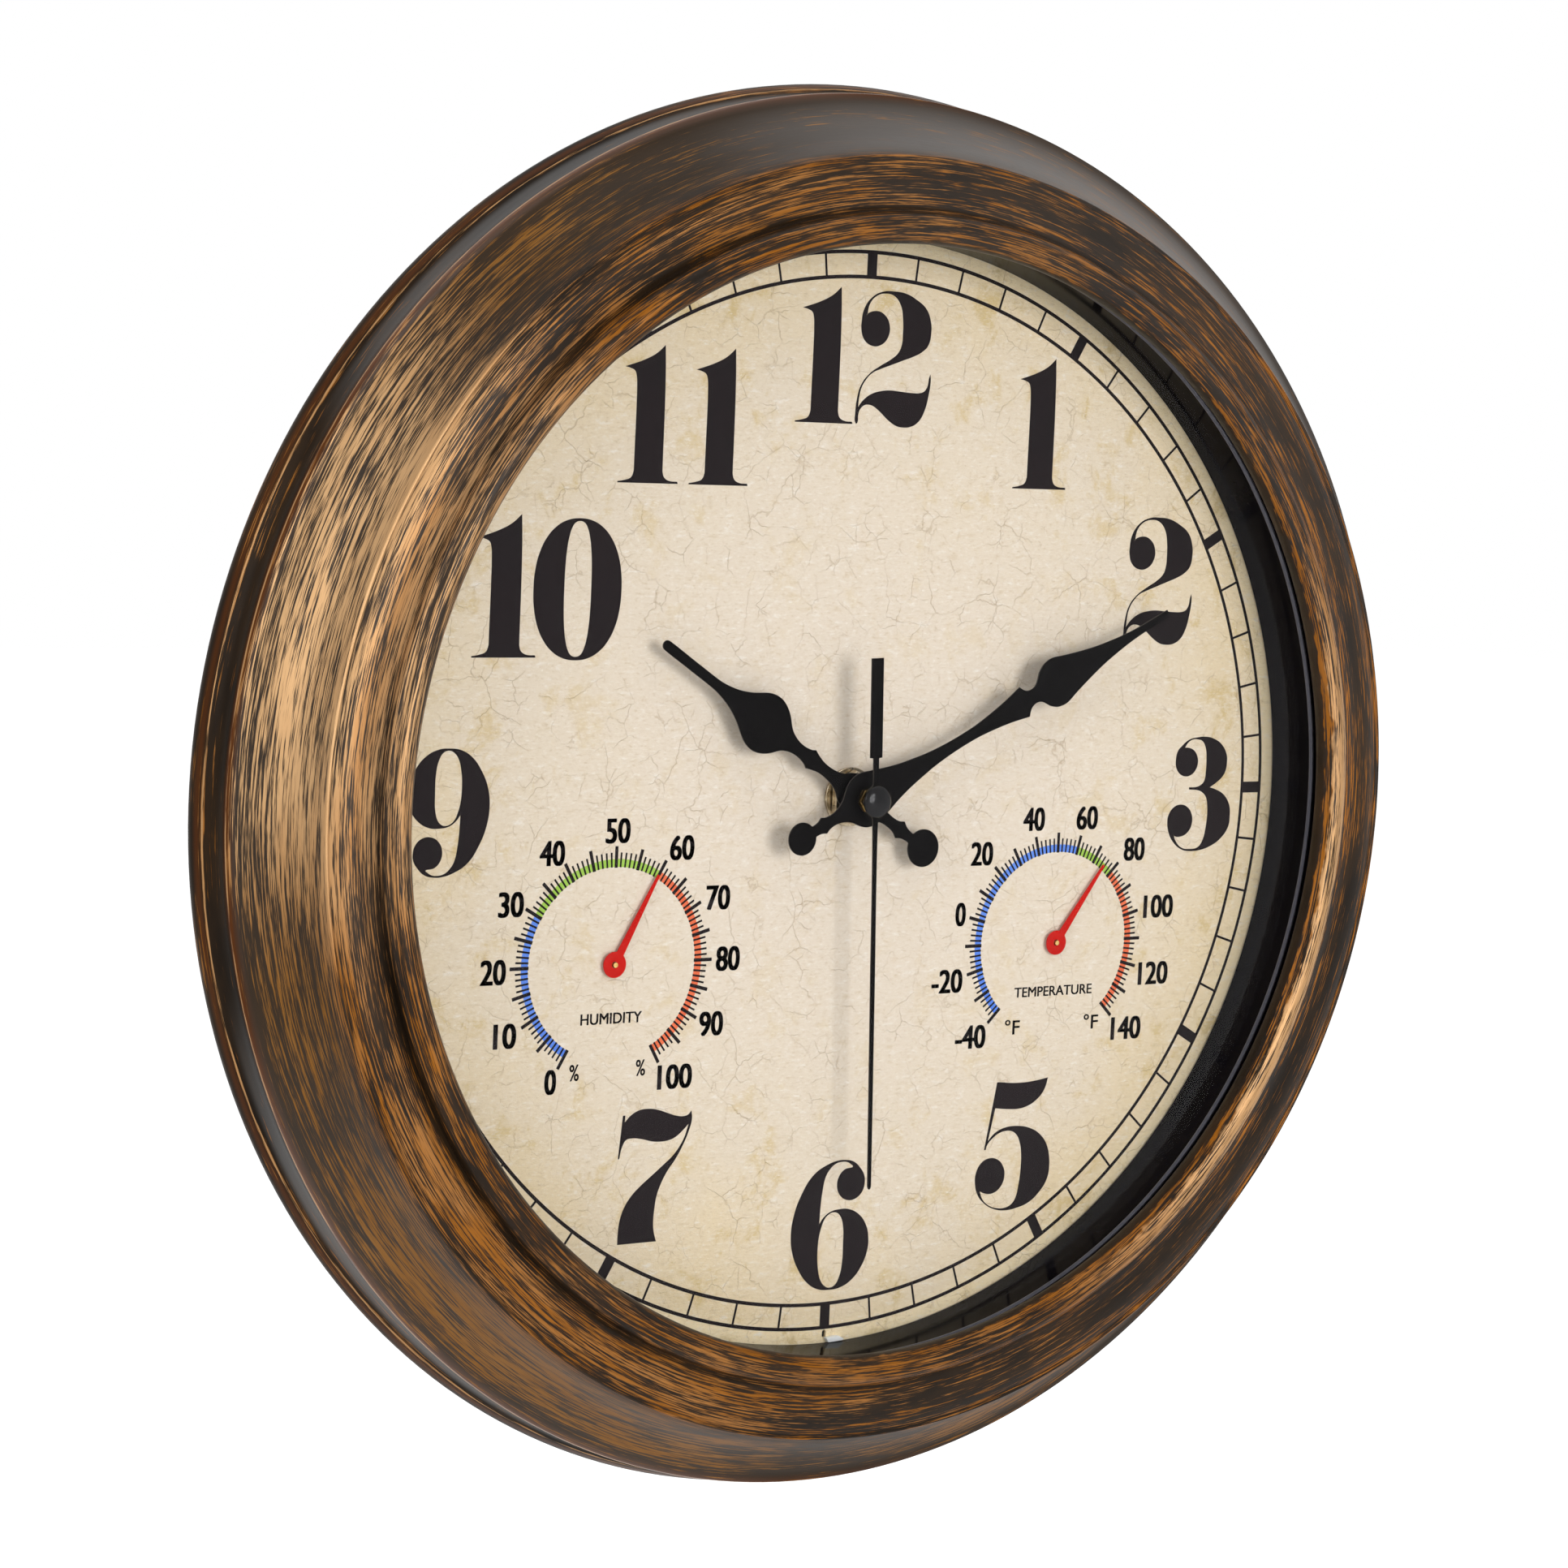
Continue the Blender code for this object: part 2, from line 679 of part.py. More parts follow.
def make_back_cover():
    cover = disc("back_cover", cover_radius, 0.0, cover_front, "black_cover", frame_steps)
    pocket_front = cover_front + pocket_depth + pocket_wall
    outer = pocket_half_width + pocket_wall
    low = pocket_low - pocket_wall
    high = pocket_high + pocket_wall
    skin_back = cover_front - 2 * joint_overlap
    room_back = cover_front - joint_overlap
    pocket_skin = block("pocket_skin", -outer, outer, low, high, skin_back, pocket_front)
    pocket_room = block(
        "pocket_room",
        -pocket_half_width,
        pocket_half_width,
        pocket_low,
        pocket_high,
        room_back,
        cover_front + pocket_depth,
    )
    keyhole = prism("keyhole", keyhole_outline(), -cut_overrun, cover_front + cut_overrun)
    add(cover, pocket_skin)
    cut(cover, pocket_room, keyhole)
    through = cover_front + cut_overrun
    for i, (x, z) in enumerate(screw_places()):
        seat = disc(f"head_seat_{i}", screw_head_radius + fit_gap, -cut_overrun, head_seat, steps=pin_steps)
        hole = disc(f"screw_hole_{i}", pilot_radius, -cut_overrun, through, steps=pin_steps)
        seat.location = hole.location = (x, 0.0, z)
        cut(cover, seat, hole)
    lid_hole = block(
        "lid_hole",
        -lid_hole_half_length,
        lid_hole_half_length,
        lid_hole_low,
        lid_hole_high,
        -cut_overrun,
        through,
    )
    lid_seat = block(
        "lid_seat",
        -lid_hole_half_length - lid_margin,
        lid_hole_half_length + lid_margin,
        lid_hole_low - lid_margin,
        lid_hole_high + lid_margin,
        -cut_overrun,
        lid_step,
    )
    knob_hole = disc("knob_hole", knob_hole_radius, -cut_overrun, through)
    knob_hole.location = (motion_x, 0.0, motion_z)
    cut(cover, lid_hole, lid_seat, knob_hole)
    for side, x in (("left", -gauge_x), ("right", gauge_x)):
        for i in range(vent_count):
            z = gauge_z + (i - (vent_count - 1) / 2) * vent_pitch
            vent = block(
                f"vent_{side}_{i}",
                x - vent_half_length,
                x + vent_half_length,
                z - vent_half_width,
                z + vent_half_width,
                -cut_overrun,
                through,
            )
            cut(cover, vent)
    return cover


def make_cover_screws():
    head_back = screw_head_recess
    head_front = head_back + screw_head_thickness
    tip = head_front + screw_length
    profile = (
        (0.0, head_back),
        (screw_head_radius, head_back),
        (screw_head_radius, head_front),
        (screw_shank_radius, head_front),
        (screw_shank_radius, tip - screw_shank_radius),
        (0.0, tip),
    )
    for i, (x, z) in enumerate(screw_places()):
        screw = turned(f"cover_screw_{i + 1}", profile, "zinc", pin_steps, closed=False)
        screw.location = (x, 0.0, z)
        half_slot = slot_width / 2
        long = screw_head_radius + cut_overrun
        slot_front = head_back + slot_depth
        slot = block(f"screw_slot_{i}", -long, long, -half_slot, half_slot, -cut_overrun, slot_front)
        slot.location = (x, 0.0, z)
        cut(screw, slot)


def make_battery_lid():
    parent = make_empty("lid_axis", 0.0, battery_z)
    plug_half_length = lid_hole_half_length - fit_gap
    plug_half_height = (lid_hole_high - lid_hole_low) / 2 - fit_gap
    plate_half_length = plug_half_length + lid_margin
    plate_half_height = plug_half_height + lid_margin
    plate_front = lid_step - fit_gap
    lid = block(
        "battery_lid",
        -plate_half_length,
        plate_half_length,
        -plate_half_height,
        plate_half_height,
        0.0,
        plate_front,
        "black_cover",
        parent,
    )
    plug = block(
        "lid_plug",
        -plug_half_length,
        plug_half_length,
        -plug_half_height,
        plug_half_height,
        plate_front - joint_overlap,
        cover_front - fit_gap,
        parent=parent,
    )
    grip = block(
        "lid_grip",
        -lid_grip_half_length,
        lid_grip_half_length,
        plug_half_height - lid_grip_half_width,
        plug_half_height + lid_grip_half_width,
        -cut_overrun,
        lid_grip_depth,
        parent=parent,
    )
    add(lid, plug)
    cut(lid, grip)


# Centre stack, seen through the lens

def hexagon(width, first):
    return circle_points(0.0, 0.0, width / 2 / math.cos(math.radians(30)), 6, first)


def make_centre_fixings():
    flange_front = train_front - fit_gap
    flange_back = flange_front - bushing_flange_thickness
    flange_radius = bushing_radius + bushing_flange_width
    profile = (
        (bushing_bore_radius, flange_back),
        (flange_radius, flange_back),
        (flange_radius, flange_front),
        (bushing_radius, flange_front),
        (bushing_radius, bushing_front),
        (bushing_bore_radius, bushing_front),
    )
    turned("threaded_bushing", profile, "brass", disc_steps)
    hole = bushing_hole_radius
    ring("rubber_washer", hole, rubber_washer_radius, rubber_washer_back, rubber_washer_front, "black_rubber",
         disc_steps)
    ring("metal_washer", hole, washer_radius, washer_back, washer_front, "zinc", disc_steps)
    nut = prism("hex_nut", hexagon(nut_width, math.pi), nut_back, nut_front, "zinc")
    nut_hole = disc("nut_hole", hole, nut_back - cut_overrun, nut_front + cut_overrun)
    cut(nut, nut_hole)


def hand_outline(length, shares, ball_place=0.0, ball=0.0):
    """Both edges of a hand that points to 12, with a round ball on its tail."""
    right = [(half * length, where * length) for where, half in shares]
    left = [(-x, z) for x, z in reversed(right)]
    outline = right + left
    if ball:
        neck = math.asin(shares[0][1] / ball)
        start = math.radians(90) + neck
        sweep = math.tau - 2 * neck
        ball_points = circle_points(0, ball_place * length, ball * length, pin_steps, start, sweep, True)
        outline += ball_points[1:-1]
    return outline


def make_hand(name, outline, back, thickness, hole_radius, finish, parent):
    hand = prism(name, outline, back, back + thickness, finish, parent)
    front = back + thickness
    hole = disc(name + "_hole", hole_radius, back - cut_overrun, front + cut_overrun, parent=parent)
    return cut(hand, hole)


def make_hour_hand():
    parent = make_empty("hour_axis", turn=hour_hand_angle)
    outline = hand_outline(hour_hand_length, hour_hand_shares, hour_ball_place_share, hour_ball_share)
    hole = hour_tube_radius + fit_gap
    make_hand("hour_hand", outline, hour_hand_back, hand_thickness, hole, "hand_black", parent)


def make_minute_hand():
    parent = make_empty("minute_axis", turn=minute_hand_angle)
    outline = hand_outline(minute_hand_length, minute_hand_shares, minute_ball_place_share, minute_ball_share)
    hole = minute_tube_radius + fit_gap
    make_hand("minute_hand", outline, minute_hand_back, hand_thickness, hole, "hand_black", parent)
    nut_top = minute_nut_back + minute_nut_thickness
    nut = prism("minute_nut", hexagon(minute_nut_width, 0.0), minute_nut_back, nut_top, "brass", parent)
    ends = (minute_nut_back - cut_overrun, nut_top + cut_overrun)
    nut_hole = disc("minute_nut_hole", hole, *ends, steps=pin_steps, parent=parent)
    cut(nut, nut_hole)


def make_second_hand():
    parent = make_empty("second_axis", turn=second_hand_angle)
    outline = hand_outline(second_hand_length, second_hand_shares)
    hand = prism("second_hand", outline, second_hand_back, second_hand_front, "hand_black", parent)
    ends = (collet_back, second_hand_back + joint_overlap)
    collet = disc("second_collet", second_collet_radius, *ends, steps=pin_steps, parent=parent)
    hole = disc(
        "second_hand_hole",
        second_arbor_radius + fit_gap,
        collet_back - cut_overrun,
        second_hand_front + cut_overrun,
        steps=pin_steps,
        parent=parent,
    )
    add(hand, collet)
    cut(hand, hole)
    rim = cap_back + cap_rim
    dome = arc_between((cap_radius, rim), (-cap_radius, rim), -cap_height, 8)
    quarter = [point for point in dome if point[0] > weld_distance]
    profile = [(0.0, cap_back), (cap_radius, cap_back), (cap_radius, rim), *quarter, (0.0, cap_front)]
    turned("second_cap", profile, "hand_black", disc_steps, parent, closed=False)


# Gauges

def pointer_outline(length):
    lean = math.asin(pointer_root_half_width / pointer_hub_radius)
    start = math.radians(90) + lean
    hub = circle_points(0.0, 0.0, pointer_hub_radius, 16, start, math.tau - 2 * lean, True)
    return [*hub, (pointer_tip_half_width, length), (-pointer_tip_half_width, length)]


def strip_outline(turns):
    """A flat strip wound outward at an even pitch, as its two edges."""
    steps = round(turns * strip_steps_per_turn)
    half = strip_thickness / 2
    inner = []
    outer = []
    for i in range(steps + 1):
        angle = math.tau * i / strip_steps_per_turn
        radius = strip_first_radius + strip_pitch * angle / math.tau
        inner.append(((radius - half) * math.cos(angle), (radius - half) * math.sin(angle)))
        outer.append(((radius + half) * math.cos(angle), (radius + half) * math.sin(angle)))
    return outer + inner[::-1]


def make_gauge(name, x, length, angle, turns, strip_finish):
    house = make_empty(name + "_place", x, gauge_z)
    axis = make_empty(name + "_axis", x, gauge_z, angle)
    inside = gauge_cup_radius - gauge_cup_wall
    cup = disc(name + "_cup", gauge_cup_radius, gauge_cup_back, gauge_cup_front, "case_black", parent=house)
    cut(cup, disc(name + "_cup_room", inside, gauge_floor, gauge_cup_front + cut_overrun, parent=house))
    for i in range(gauge_vent_count):
        vent = disc(
            f"{name}_cup_vent_{i}",
            gauge_vent_radius,
            gauge_cup_back - cut_overrun,
            gauge_floor + cut_overrun,
            steps=pin_steps,
            parent=house,
        )
        vent_x, vent_z = place(gauge_vent_circle_share * gauge_cup_radius, math.tau * i / gauge_vent_count)
        vent.location = (vent_x, 0.0, vent_z)
        cut(cup, vent)
    prism(name + "_coil", strip_outline(turns), strip_back, strip_back + strip_width, strip_finish, house)
    arbor_profile = (
        (0.0, gauge_floor + run_gap),
        (collet_radius, gauge_floor + run_gap),
        (collet_radius, strip_back + strip_width),
        (gauge_arbor_radius, strip_back + strip_width),
        (gauge_arbor_radius, gauge_arbor_front),
        (0.0, gauge_arbor_front),
    )
    turned(name + "_arbor", arbor_profile, "brass", pin_steps, axis, closed=False)
    make_hand(
        name + "_pointer",
        pointer_outline(length),
        pointer_back,
        pointer_thickness,
        gauge_arbor_radius + fit_gap,
        "pointer_red",
        axis,
    )


# Movement

def make_movement_case():
    half = movement_half_width
    train_side = half - movement_wall
    sides = (-half, half, movement_low, movement_high)
    rear = block("movement_rear_case", *sides, movement_back, case_split - fit_gap / 2, "case_black")
    front = block("movement_front_case", *sides, case_split + fit_gap / 2, movement_front, "case_black")
    room_sides = (-train_side, train_side, train_low, train_high)
    bay_sides = (-bay_half_length, bay_half_length, bay_low, bay_high)
    rear_room = block("rear_room", *room_sides, train_back, case_split + cut_overrun)
    front_room = block("front_room", *room_sides, case_split - cut_overrun, train_front)
    rear_bay = block("rear_bay", *bay_sides, -cut_overrun, case_split + cut_overrun)
    front_bay = block("front_bay", *bay_sides, case_split - cut_overrun, movement_front - movement_front_wall)
    ends = (train_front - cut_overrun, movement_front + cut_overrun)
    bushing_hole = disc("bushing_hole", bushing_hole_radius, *ends)
    knob_hole = disc("knob_arbor_hole", knob_arbor_radius + run_gap, -cut_overrun, train_back + cut_overrun,
                     steps=pin_steps)
    knob_hole.location = (motion_x, 0.0, motion_z)
    cut(rear, rear_room, rear_bay, knob_hole)
    cut(front, front_room, front_bay, bushing_hole)


def make_battery():
    profile = (
        (0.0, battery_rear_end),
        (battery_radius, battery_rear_end),
        (battery_radius, battery_body_end),
        (battery_nub_radius, battery_body_end),
        (battery_nub_radius, battery_nub_end),
        (0.0, battery_nub_end),
    )
    battery = turned("battery", profile, "battery_jacket", disc_steps, closed=False)
    battery.rotation_euler = (0.0, 0.0, math.radians(90))
    battery.location = (0.0, -battery_depth, battery_z)


def make_contacts():
    low = battery_z - contact_half_height
    high = battery_z + contact_half_height
    back = battery_depth - contact_depth / 2
    front = battery_depth + contact_depth / 2
    block("contact_positive", contact_inner, contact_outer, low, high, back, front, "zinc")
    touch = battery_rear_end - fit_gap
    outline = (
        (-contact_outer, low),
        (-contact_outer, high),
        (-contact_inner, high),
        (touch - contact_thickness, battery_z),
        (touch, battery_z),
        (-contact_inner + contact_thickness, battery_z - contact_half_height / 2),
        (-contact_inner, low),
    )
    prism("contact_negative", outline, back, front, "zinc")


def gear_outline(teeth, module, facing, tooth_faces=True):
    """Straight-sided teeth. A tooth, or else a gap, is centred on the facing direction."""
    pitch = math.tau / teeth
    radius = teeth * module / 2
    tip = radius + tooth_height_share * module
    root = radius - tooth_root_share * module
    first = facing if tooth_faces else facing + pitch / 2
    points = []
    for i in range(teeth):
        middle = first + i * pitch
        for reach, share in (
            (root, -tooth_foot_share),
            (tip, -tooth_tip_share),
            (tip, tooth_tip_share),
            (root, tooth_foot_share),
        ):
            points.append(place(reach, middle + share * pitch / 2))
    return points


def make_rotor():
    axis = make_empty("rotor_axis", rotor_x, rotor_z)
    outline = gear_outline(pinion_teeth, step_module, rotor_direction + half_turn)
    pinion_front = intermediate_back + 2 * step_wheel_thickness
    magnet_front = stator_front + magnet_reach
    rotor = prism("rotor", outline, intermediate_back, pinion_front, "soft_iron", axis)
    magnet = disc("rotor_magnet", magnet_radius, pinion_front - joint_overlap, magnet_front, parent=axis)
    return add(rotor, magnet)


def make_intermediate_wheel():
    axis = make_empty("intermediate_axis", intermediate_x, intermediate_z)
    wheel = prism(
        "intermediate_wheel",
        gear_outline(intermediate_teeth, step_module, rotor_direction, False),
        intermediate_back,
        intermediate_back + step_wheel_thickness,
        "white_gear",
        axis,
    )
    pinion_back = intermediate_back + step_wheel_thickness - joint_overlap
    pinion_front = seconds_back + wheel_thickness + fit_gap
    facing = intermediate_direction + half_turn
    pinion = prism("intermediate_pinion", gear_outline(pinion_teeth, seconds_module, facing), pinion_back,
                   pinion_front, parent=axis)
    add(wheel, pinion)


def make_seconds_wheel(axis):
    arbor_back = train_back + run_gap
    wheel_front = seconds_back + wheel_thickness
    wheel = prism(
        "seconds_wheel",
        gear_outline(seconds_teeth, seconds_module, intermediate_direction, False),
        seconds_back,
        wheel_front,
        "white_gear",
        axis,
    )
    pinion = prism(
        "seconds_pinion",
        gear_outline(pinion_teeth, third_module, third_direction),
        wheel_front - joint_overlap,
        third_back + wheel_thickness + fit_gap,
        parent=axis,
    )
    ends = (arbor_back, second_hand_front)
    arbor = disc("second_arbor", second_arbor_radius, *ends, steps=pin_steps, parent=axis)
    add(wheel, pinion, arbor)


def make_third_wheel():
    axis = make_empty("third_axis", third_x, third_z)
    wheel = prism(
        "third_wheel",
        gear_outline(third_teeth, third_module, third_direction + half_turn, False),
        third_back,
        third_back + wheel_thickness,
        "white_gear",
        axis,
    )
    pinion = prism(
        "third_pinion",
        gear_outline(pinion_teeth, centre_module, third_direction + half_turn),
        third_back + wheel_thickness - joint_overlap,
        centre_back + wheel_thickness + fit_gap,
        parent=axis,
    )
    arbor = disc("third_arbor", arbor_radius, train_back + run_gap, train_front - run_gap, steps=pin_steps,
                 parent=axis)
    add(wheel, pinion, arbor)


def make_centre_wheel():
    axis = make_empty("centre_axis")
    wheel = prism(
        "centre_wheel",
        gear_outline(centre_teeth, centre_module, third_direction, False),
        centre_back,
        centre_back + wheel_thickness,
        "white_gear",
        axis,
    )
    hole = disc("centre_wheel_hole", minute_tube_radius + run_gap, centre_back - cut_overrun,
                centre_back + wheel_thickness + cut_overrun)
    cut(wheel, hole)


def make_minute_arbor(axis):
    ends = (minute_tube_back, minute_tube_front)
    tube = disc("minute_arbor", minute_tube_radius, *ends, "brass", disc_steps, axis)
    pinion = prism(
        "cannon_pinion",
        gear_outline(cannon_teeth, motion_module, motion_direction),
        motion_back - fit_gap,
        motion_back + wheel_thickness + fit_gap,
        parent=axis,
    )
    ends = (minute_tube_back - cut_overrun, minute_tube_front + cut_overrun)
    bore = disc("minute_bore", minute_bore_radius, *ends, steps=pin_steps, parent=axis)
    add(tube, pinion)
    cut(tube, bore)


def make_motion_wheel():
    axis = make_empty("motion_axis", motion_x, motion_z)
    facing = motion_direction + half_turn
    wheel = prism(
        "motion_wheel",
        gear_outline(motion_teeth, motion_module, facing, False),
        motion_back,
        motion_back + wheel_thickness,
        "white_gear",
        axis,
    )
    pinion = prism(
        "motion_pinion",
        gear_outline(motion_pinion_teeth, hour_module, facing),
        motion_back + wheel_thickness - joint_overlap,
        hour_back + wheel_thickness + fit_gap,
        parent=axis,
    )
    stem = disc("knob_stem", knob_arbor_radius, knob_front - joint_overlap, motion_back + joint_overlap,
                steps=pin_steps, parent=axis)
    ribs = []
    for i in range(2 * knob_ribs):
        reach = knob_radius if i % 2 == 0 else knob_radius * knob_rib_share
        ribs.append(place(reach, math.tau * i / (2 * knob_ribs)))
    knob = prism("knob_head", ribs, knob_back, knob_front, parent=axis)
    add(wheel, pinion, stem, knob)


def make_hour_wheel(axis):
    wheel = prism(
        "hour_wheel",
        gear_outline(hour_teeth, hour_module, motion_direction, False),
        hour_back,
        hour_back + wheel_thickness,
        "white_gear",
        axis,
    )
    tube = disc("hour_tube", hour_tube_radius, hour_back, hour_tube_front, parent=axis)
    ends = (hour_back - cut_overrun, hour_tube_front + cut_overrun)
    bore = disc("hour_bore", hour_bore_radius, *ends, parent=axis)
    add(wheel, tube)
    cut(wheel, bore)


def make_motor():
    arm = core_half_length - stator_arm_width
    low = rotor_z - stator_bar_half_height
    high = rotor_z + stator_bar_half_height
    top = coil_z + core_half_height
    outline = (
        (-core_half_length, low),
        (core_half_length, low),
        (core_half_length, top),
        (arm, top),
        (arm, high),
        (-arm, high),
        (-arm, top),
        (-core_half_length, top),
    )
    stator = prism("stator", outline, stator_back, stator_front, "soft_iron")
    ends = (stator_back - cut_overrun, stator_front + cut_overrun)
    rotor_hole = disc("rotor_hole", magnet_radius + 2 * run_gap, *ends)
    rotor_hole.location = (rotor_x, 0.0, rotor_z)
    cut(stator, rotor_hole)
    core_front = core_back + core_thickness
    edges = (-core_half_length, core_half_length, coil_z - core_half_height, top)
    block("coil_core", *edges, core_back, core_front, "soft_iron")
    flange_inside = coil_half_length - coil_flange_thickness
    half_core = math.hypot(core_half_height, core_thickness / 2) + fit_gap
    profile = (
        (half_core, -coil_half_length),
        (coil_flange_radius, -coil_half_length),
        (coil_flange_radius, -flange_inside),
        (coil_radius, -flange_inside),
        (coil_radius, flange_inside),
        (coil_flange_radius, flange_inside),
        (coil_flange_radius, coil_half_length),
        (half_core, coil_half_length),
    )
    coil = turned("coil", profile, "copper", pin_steps)
    coil.rotation_euler = (0.0, 0.0, math.radians(90))
    coil.location = (0.0, -core_middle, coil_z)


def make_electronics():
    board_back = train_back + fit_gap
    board_front = board_back + board_thickness
    edges = (board_left, board_right, board_low, board_high)
    block("circuit_board", *edges, board_back, board_front, "board_green")
    can = disc("quartz_can", quartz_radius, -quartz_length / 2, quartz_length / 2, "zinc", pin_steps)
    can.rotation_euler = (math.radians(90), 0.0, 0.0)
    can.location = (board_middle, -(board_front + fit_gap + quartz_radius), board_high - quartz_length)
    chip_back = board_front + fit_gap
    profile = (
        (0.0, chip_back),
        (chip_radius, chip_back),
        (chip_radius * math.cos(chip_edge_angle), chip_back + chip_height * math.sin(chip_edge_angle)),
        (0.0, chip_back + chip_height),
    )
    chip = turned("chip_cover", profile, "gloss_black", pin_steps, closed=False)
    chip.location = (board_middle, 0.0, board_low + 2 * chip_radius)


clear_scene()
materials = {name: make_material(name) for name in finishes}
make_frame()
make_inner_ring()
make_lens()
make_dial()
make_rear_rings()
make_back_cover()
make_cover_screws()
make_battery_lid()
make_centre_fixings()
make_hour_hand()
make_minute_hand()
make_second_hand()
humidity_reading = (humidity_pointer_length, humidity_angle, humidity_strip_turns)
make_gauge("humidity", -gauge_x, *humidity_reading, "copper")
temperature_reading = (temperature_pointer_length, temperature_angle, temperature_strip_turns)
make_gauge("temperature", gauge_x, *temperature_reading, "brass")
make_movement_case()
make_battery()
make_contacts()
make_rotor()
make_intermediate_wheel()
make_seconds_wheel(make_empty("seconds_wheel_axis"))
make_third_wheel()
make_centre_wheel()
make_minute_arbor(make_empty("minute_arbor_axis"))
make_motion_wheel()
make_hour_wheel(make_empty("hour_wheel_axis"))
make_motor()
make_electronics()
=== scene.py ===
import json
import math

import bmesh
import bpy
import mathutils
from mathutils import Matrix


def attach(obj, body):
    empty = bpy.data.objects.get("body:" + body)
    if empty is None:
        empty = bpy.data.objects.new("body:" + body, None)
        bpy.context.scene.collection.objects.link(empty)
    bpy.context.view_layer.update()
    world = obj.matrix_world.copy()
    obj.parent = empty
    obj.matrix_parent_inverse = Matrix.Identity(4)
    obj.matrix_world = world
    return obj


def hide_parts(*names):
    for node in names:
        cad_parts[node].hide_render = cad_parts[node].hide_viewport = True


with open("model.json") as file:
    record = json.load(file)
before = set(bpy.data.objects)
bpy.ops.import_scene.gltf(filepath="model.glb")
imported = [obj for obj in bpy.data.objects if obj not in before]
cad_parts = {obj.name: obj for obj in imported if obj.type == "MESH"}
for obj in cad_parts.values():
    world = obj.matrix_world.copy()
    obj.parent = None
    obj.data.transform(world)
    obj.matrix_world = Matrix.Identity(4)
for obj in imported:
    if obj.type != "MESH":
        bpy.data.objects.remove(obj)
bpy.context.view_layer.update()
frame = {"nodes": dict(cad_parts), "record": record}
scene = bpy.context.scene
mm = 0.001
white = (1.0, 1.0, 1.0, 1.0)


# Nodes

def addNode(tree, kind, inputs=None, **settings):
    made = tree.nodes.new(kind)
    for key, value in settings.items():
        setattr(made, key, value)
    for key, value in (inputs or {}).items():
        if isinstance(value, Wire):
            tree.links.new(value.socket, made.inputs[key])
        else:
            made.inputs[key].default_value = value
    return made


def wire(tree, kind, inputs=None, output=0, **settings):
    return Wire(tree, addNode(tree, kind, inputs, **settings).outputs[output])


class Wire:
    # the output of a node, reckoned with like a number
    def __init__(self, tree, socket):
        self.tree = tree
        self.socket = socket

    def reckon(self, operation, first, second=0.0, clamp=False):
        return wire(self.tree, "ShaderNodeMath", {0: first, 1: second}, operation=operation, use_clamp=clamp)

    def through(self, operation):
        return self.reckon(operation, self)

    def __add__(self, other):
        return self.reckon("ADD", self, other)

    def __sub__(self, other):
        return self.reckon("SUBTRACT", self, other)

    def __rsub__(self, other):
        return self.reckon("SUBTRACT", other, self)

    def __mul__(self, other):
        return self.reckon("MULTIPLY", self, other)

    def larger(self, other, clamp=False):
        return self.reckon("MAXIMUM", self, other, clamp)

    def step(self, low, high, start=0.0, end=1.0):
        # goes smoothly from start to end while the value goes from low to high
        inputs = {"Value": self, "From Min": low, "From Max": high, "To Min": start, "To Max": end}
        return wire(self.tree, "ShaderNodeMapRange", inputs, interpolation_type="SMOOTHSTEP")


def split(vector):
    outputs = addNode(vector.tree, "ShaderNodeSeparateXYZ", {"Vector": vector}).outputs
    return [Wire(vector.tree, socket) for socket in outputs]


def shown(colour):
    # a colour as seen on screen, 0 to 255, as the shader wants it; a wire passes as it is
    if isinstance(colour, Wire):
        return colour
    shares = [value / 255 for value in colour]
    return (*(c / 12.92 if c <= 0.04045 else ((c + 0.055) / 1.055) ** 2.4 for c in shares), 1.0)


def mixColour(factor, first, second):
    inputs = {"Factor": factor, 6: shown(first), 7: shown(second)}
    return wire(factor.tree, "ShaderNodeMix", inputs, 2, data_type="RGBA")


def layered(colour, layers):
    for share, upper in layers:
        colour = mixColour(share, colour, upper)
    return colour


def noise(place, scale, detail, roughness=0.5, distortion=0.0):
    inputs = {"Vector": place, "Scale": scale, "Detail": detail, "Roughness": roughness,
              "Distortion": distortion}
    return wire(place.tree, "ShaderNodeTexNoise", inputs, "Fac")


def bump(height, distance, strength):
    inputs = {"Height": height, "Distance": distance, "Strength": strength}
    return wire(height.tree, "ShaderNodeBump", inputs, "Normal")


def newMaterial(name):
    made = bpy.data.materials.new(name)
    made.use_nodes = True
    tree = made.node_tree
    tree.nodes.clear()
    return made, wire(tree, "ShaderNodeTexCoord", output="Object")


def finished(material, surface):
    addNode(material.node_tree, "ShaderNodeOutputMaterial", {"Surface": surface})
    return material


def principled(material, inputs):
    return finished(material, wire(material.node_tree, "ShaderNodeBsdfPrincipled", inputs, "BSDF"))


# Outlines and meshes

def arc(x, y, radius, start, sweep, steps, high=None):
    # points round (x, y), from start through sweep degrees; high is the other half axis of an oval
    turns = [math.radians(start + sweep * i / steps) for i in range(steps + 1)]
    return [(x + radius * math.cos(turn), y + (high or radius) * math.sin(turn)) for turn in turns]


def ringPoints(radius, count, start=0.0):
    return arc(0.0, 0.0, radius, start, 360, count)[:-1]


def openRing(y, radius, halfGap, steps):
    # a circle with a gap at its top, run clockwise
    lean = math.degrees(math.asin(halfGap / radius))
    return arc(0.0, y, radius, 90 - lean, 2 * lean - 360, steps)


def newMesh(name, work):
    mesh = bpy.data.meshes.new(name)
    work.to_mesh(mesh)
    work.free()
    return mesh


def shaded(mesh, sharpAngle=32):
    mesh.shade_smooth()
    mesh.set_sharp_from_angle(angle=math.radians(sharpAngle))
    return mesh


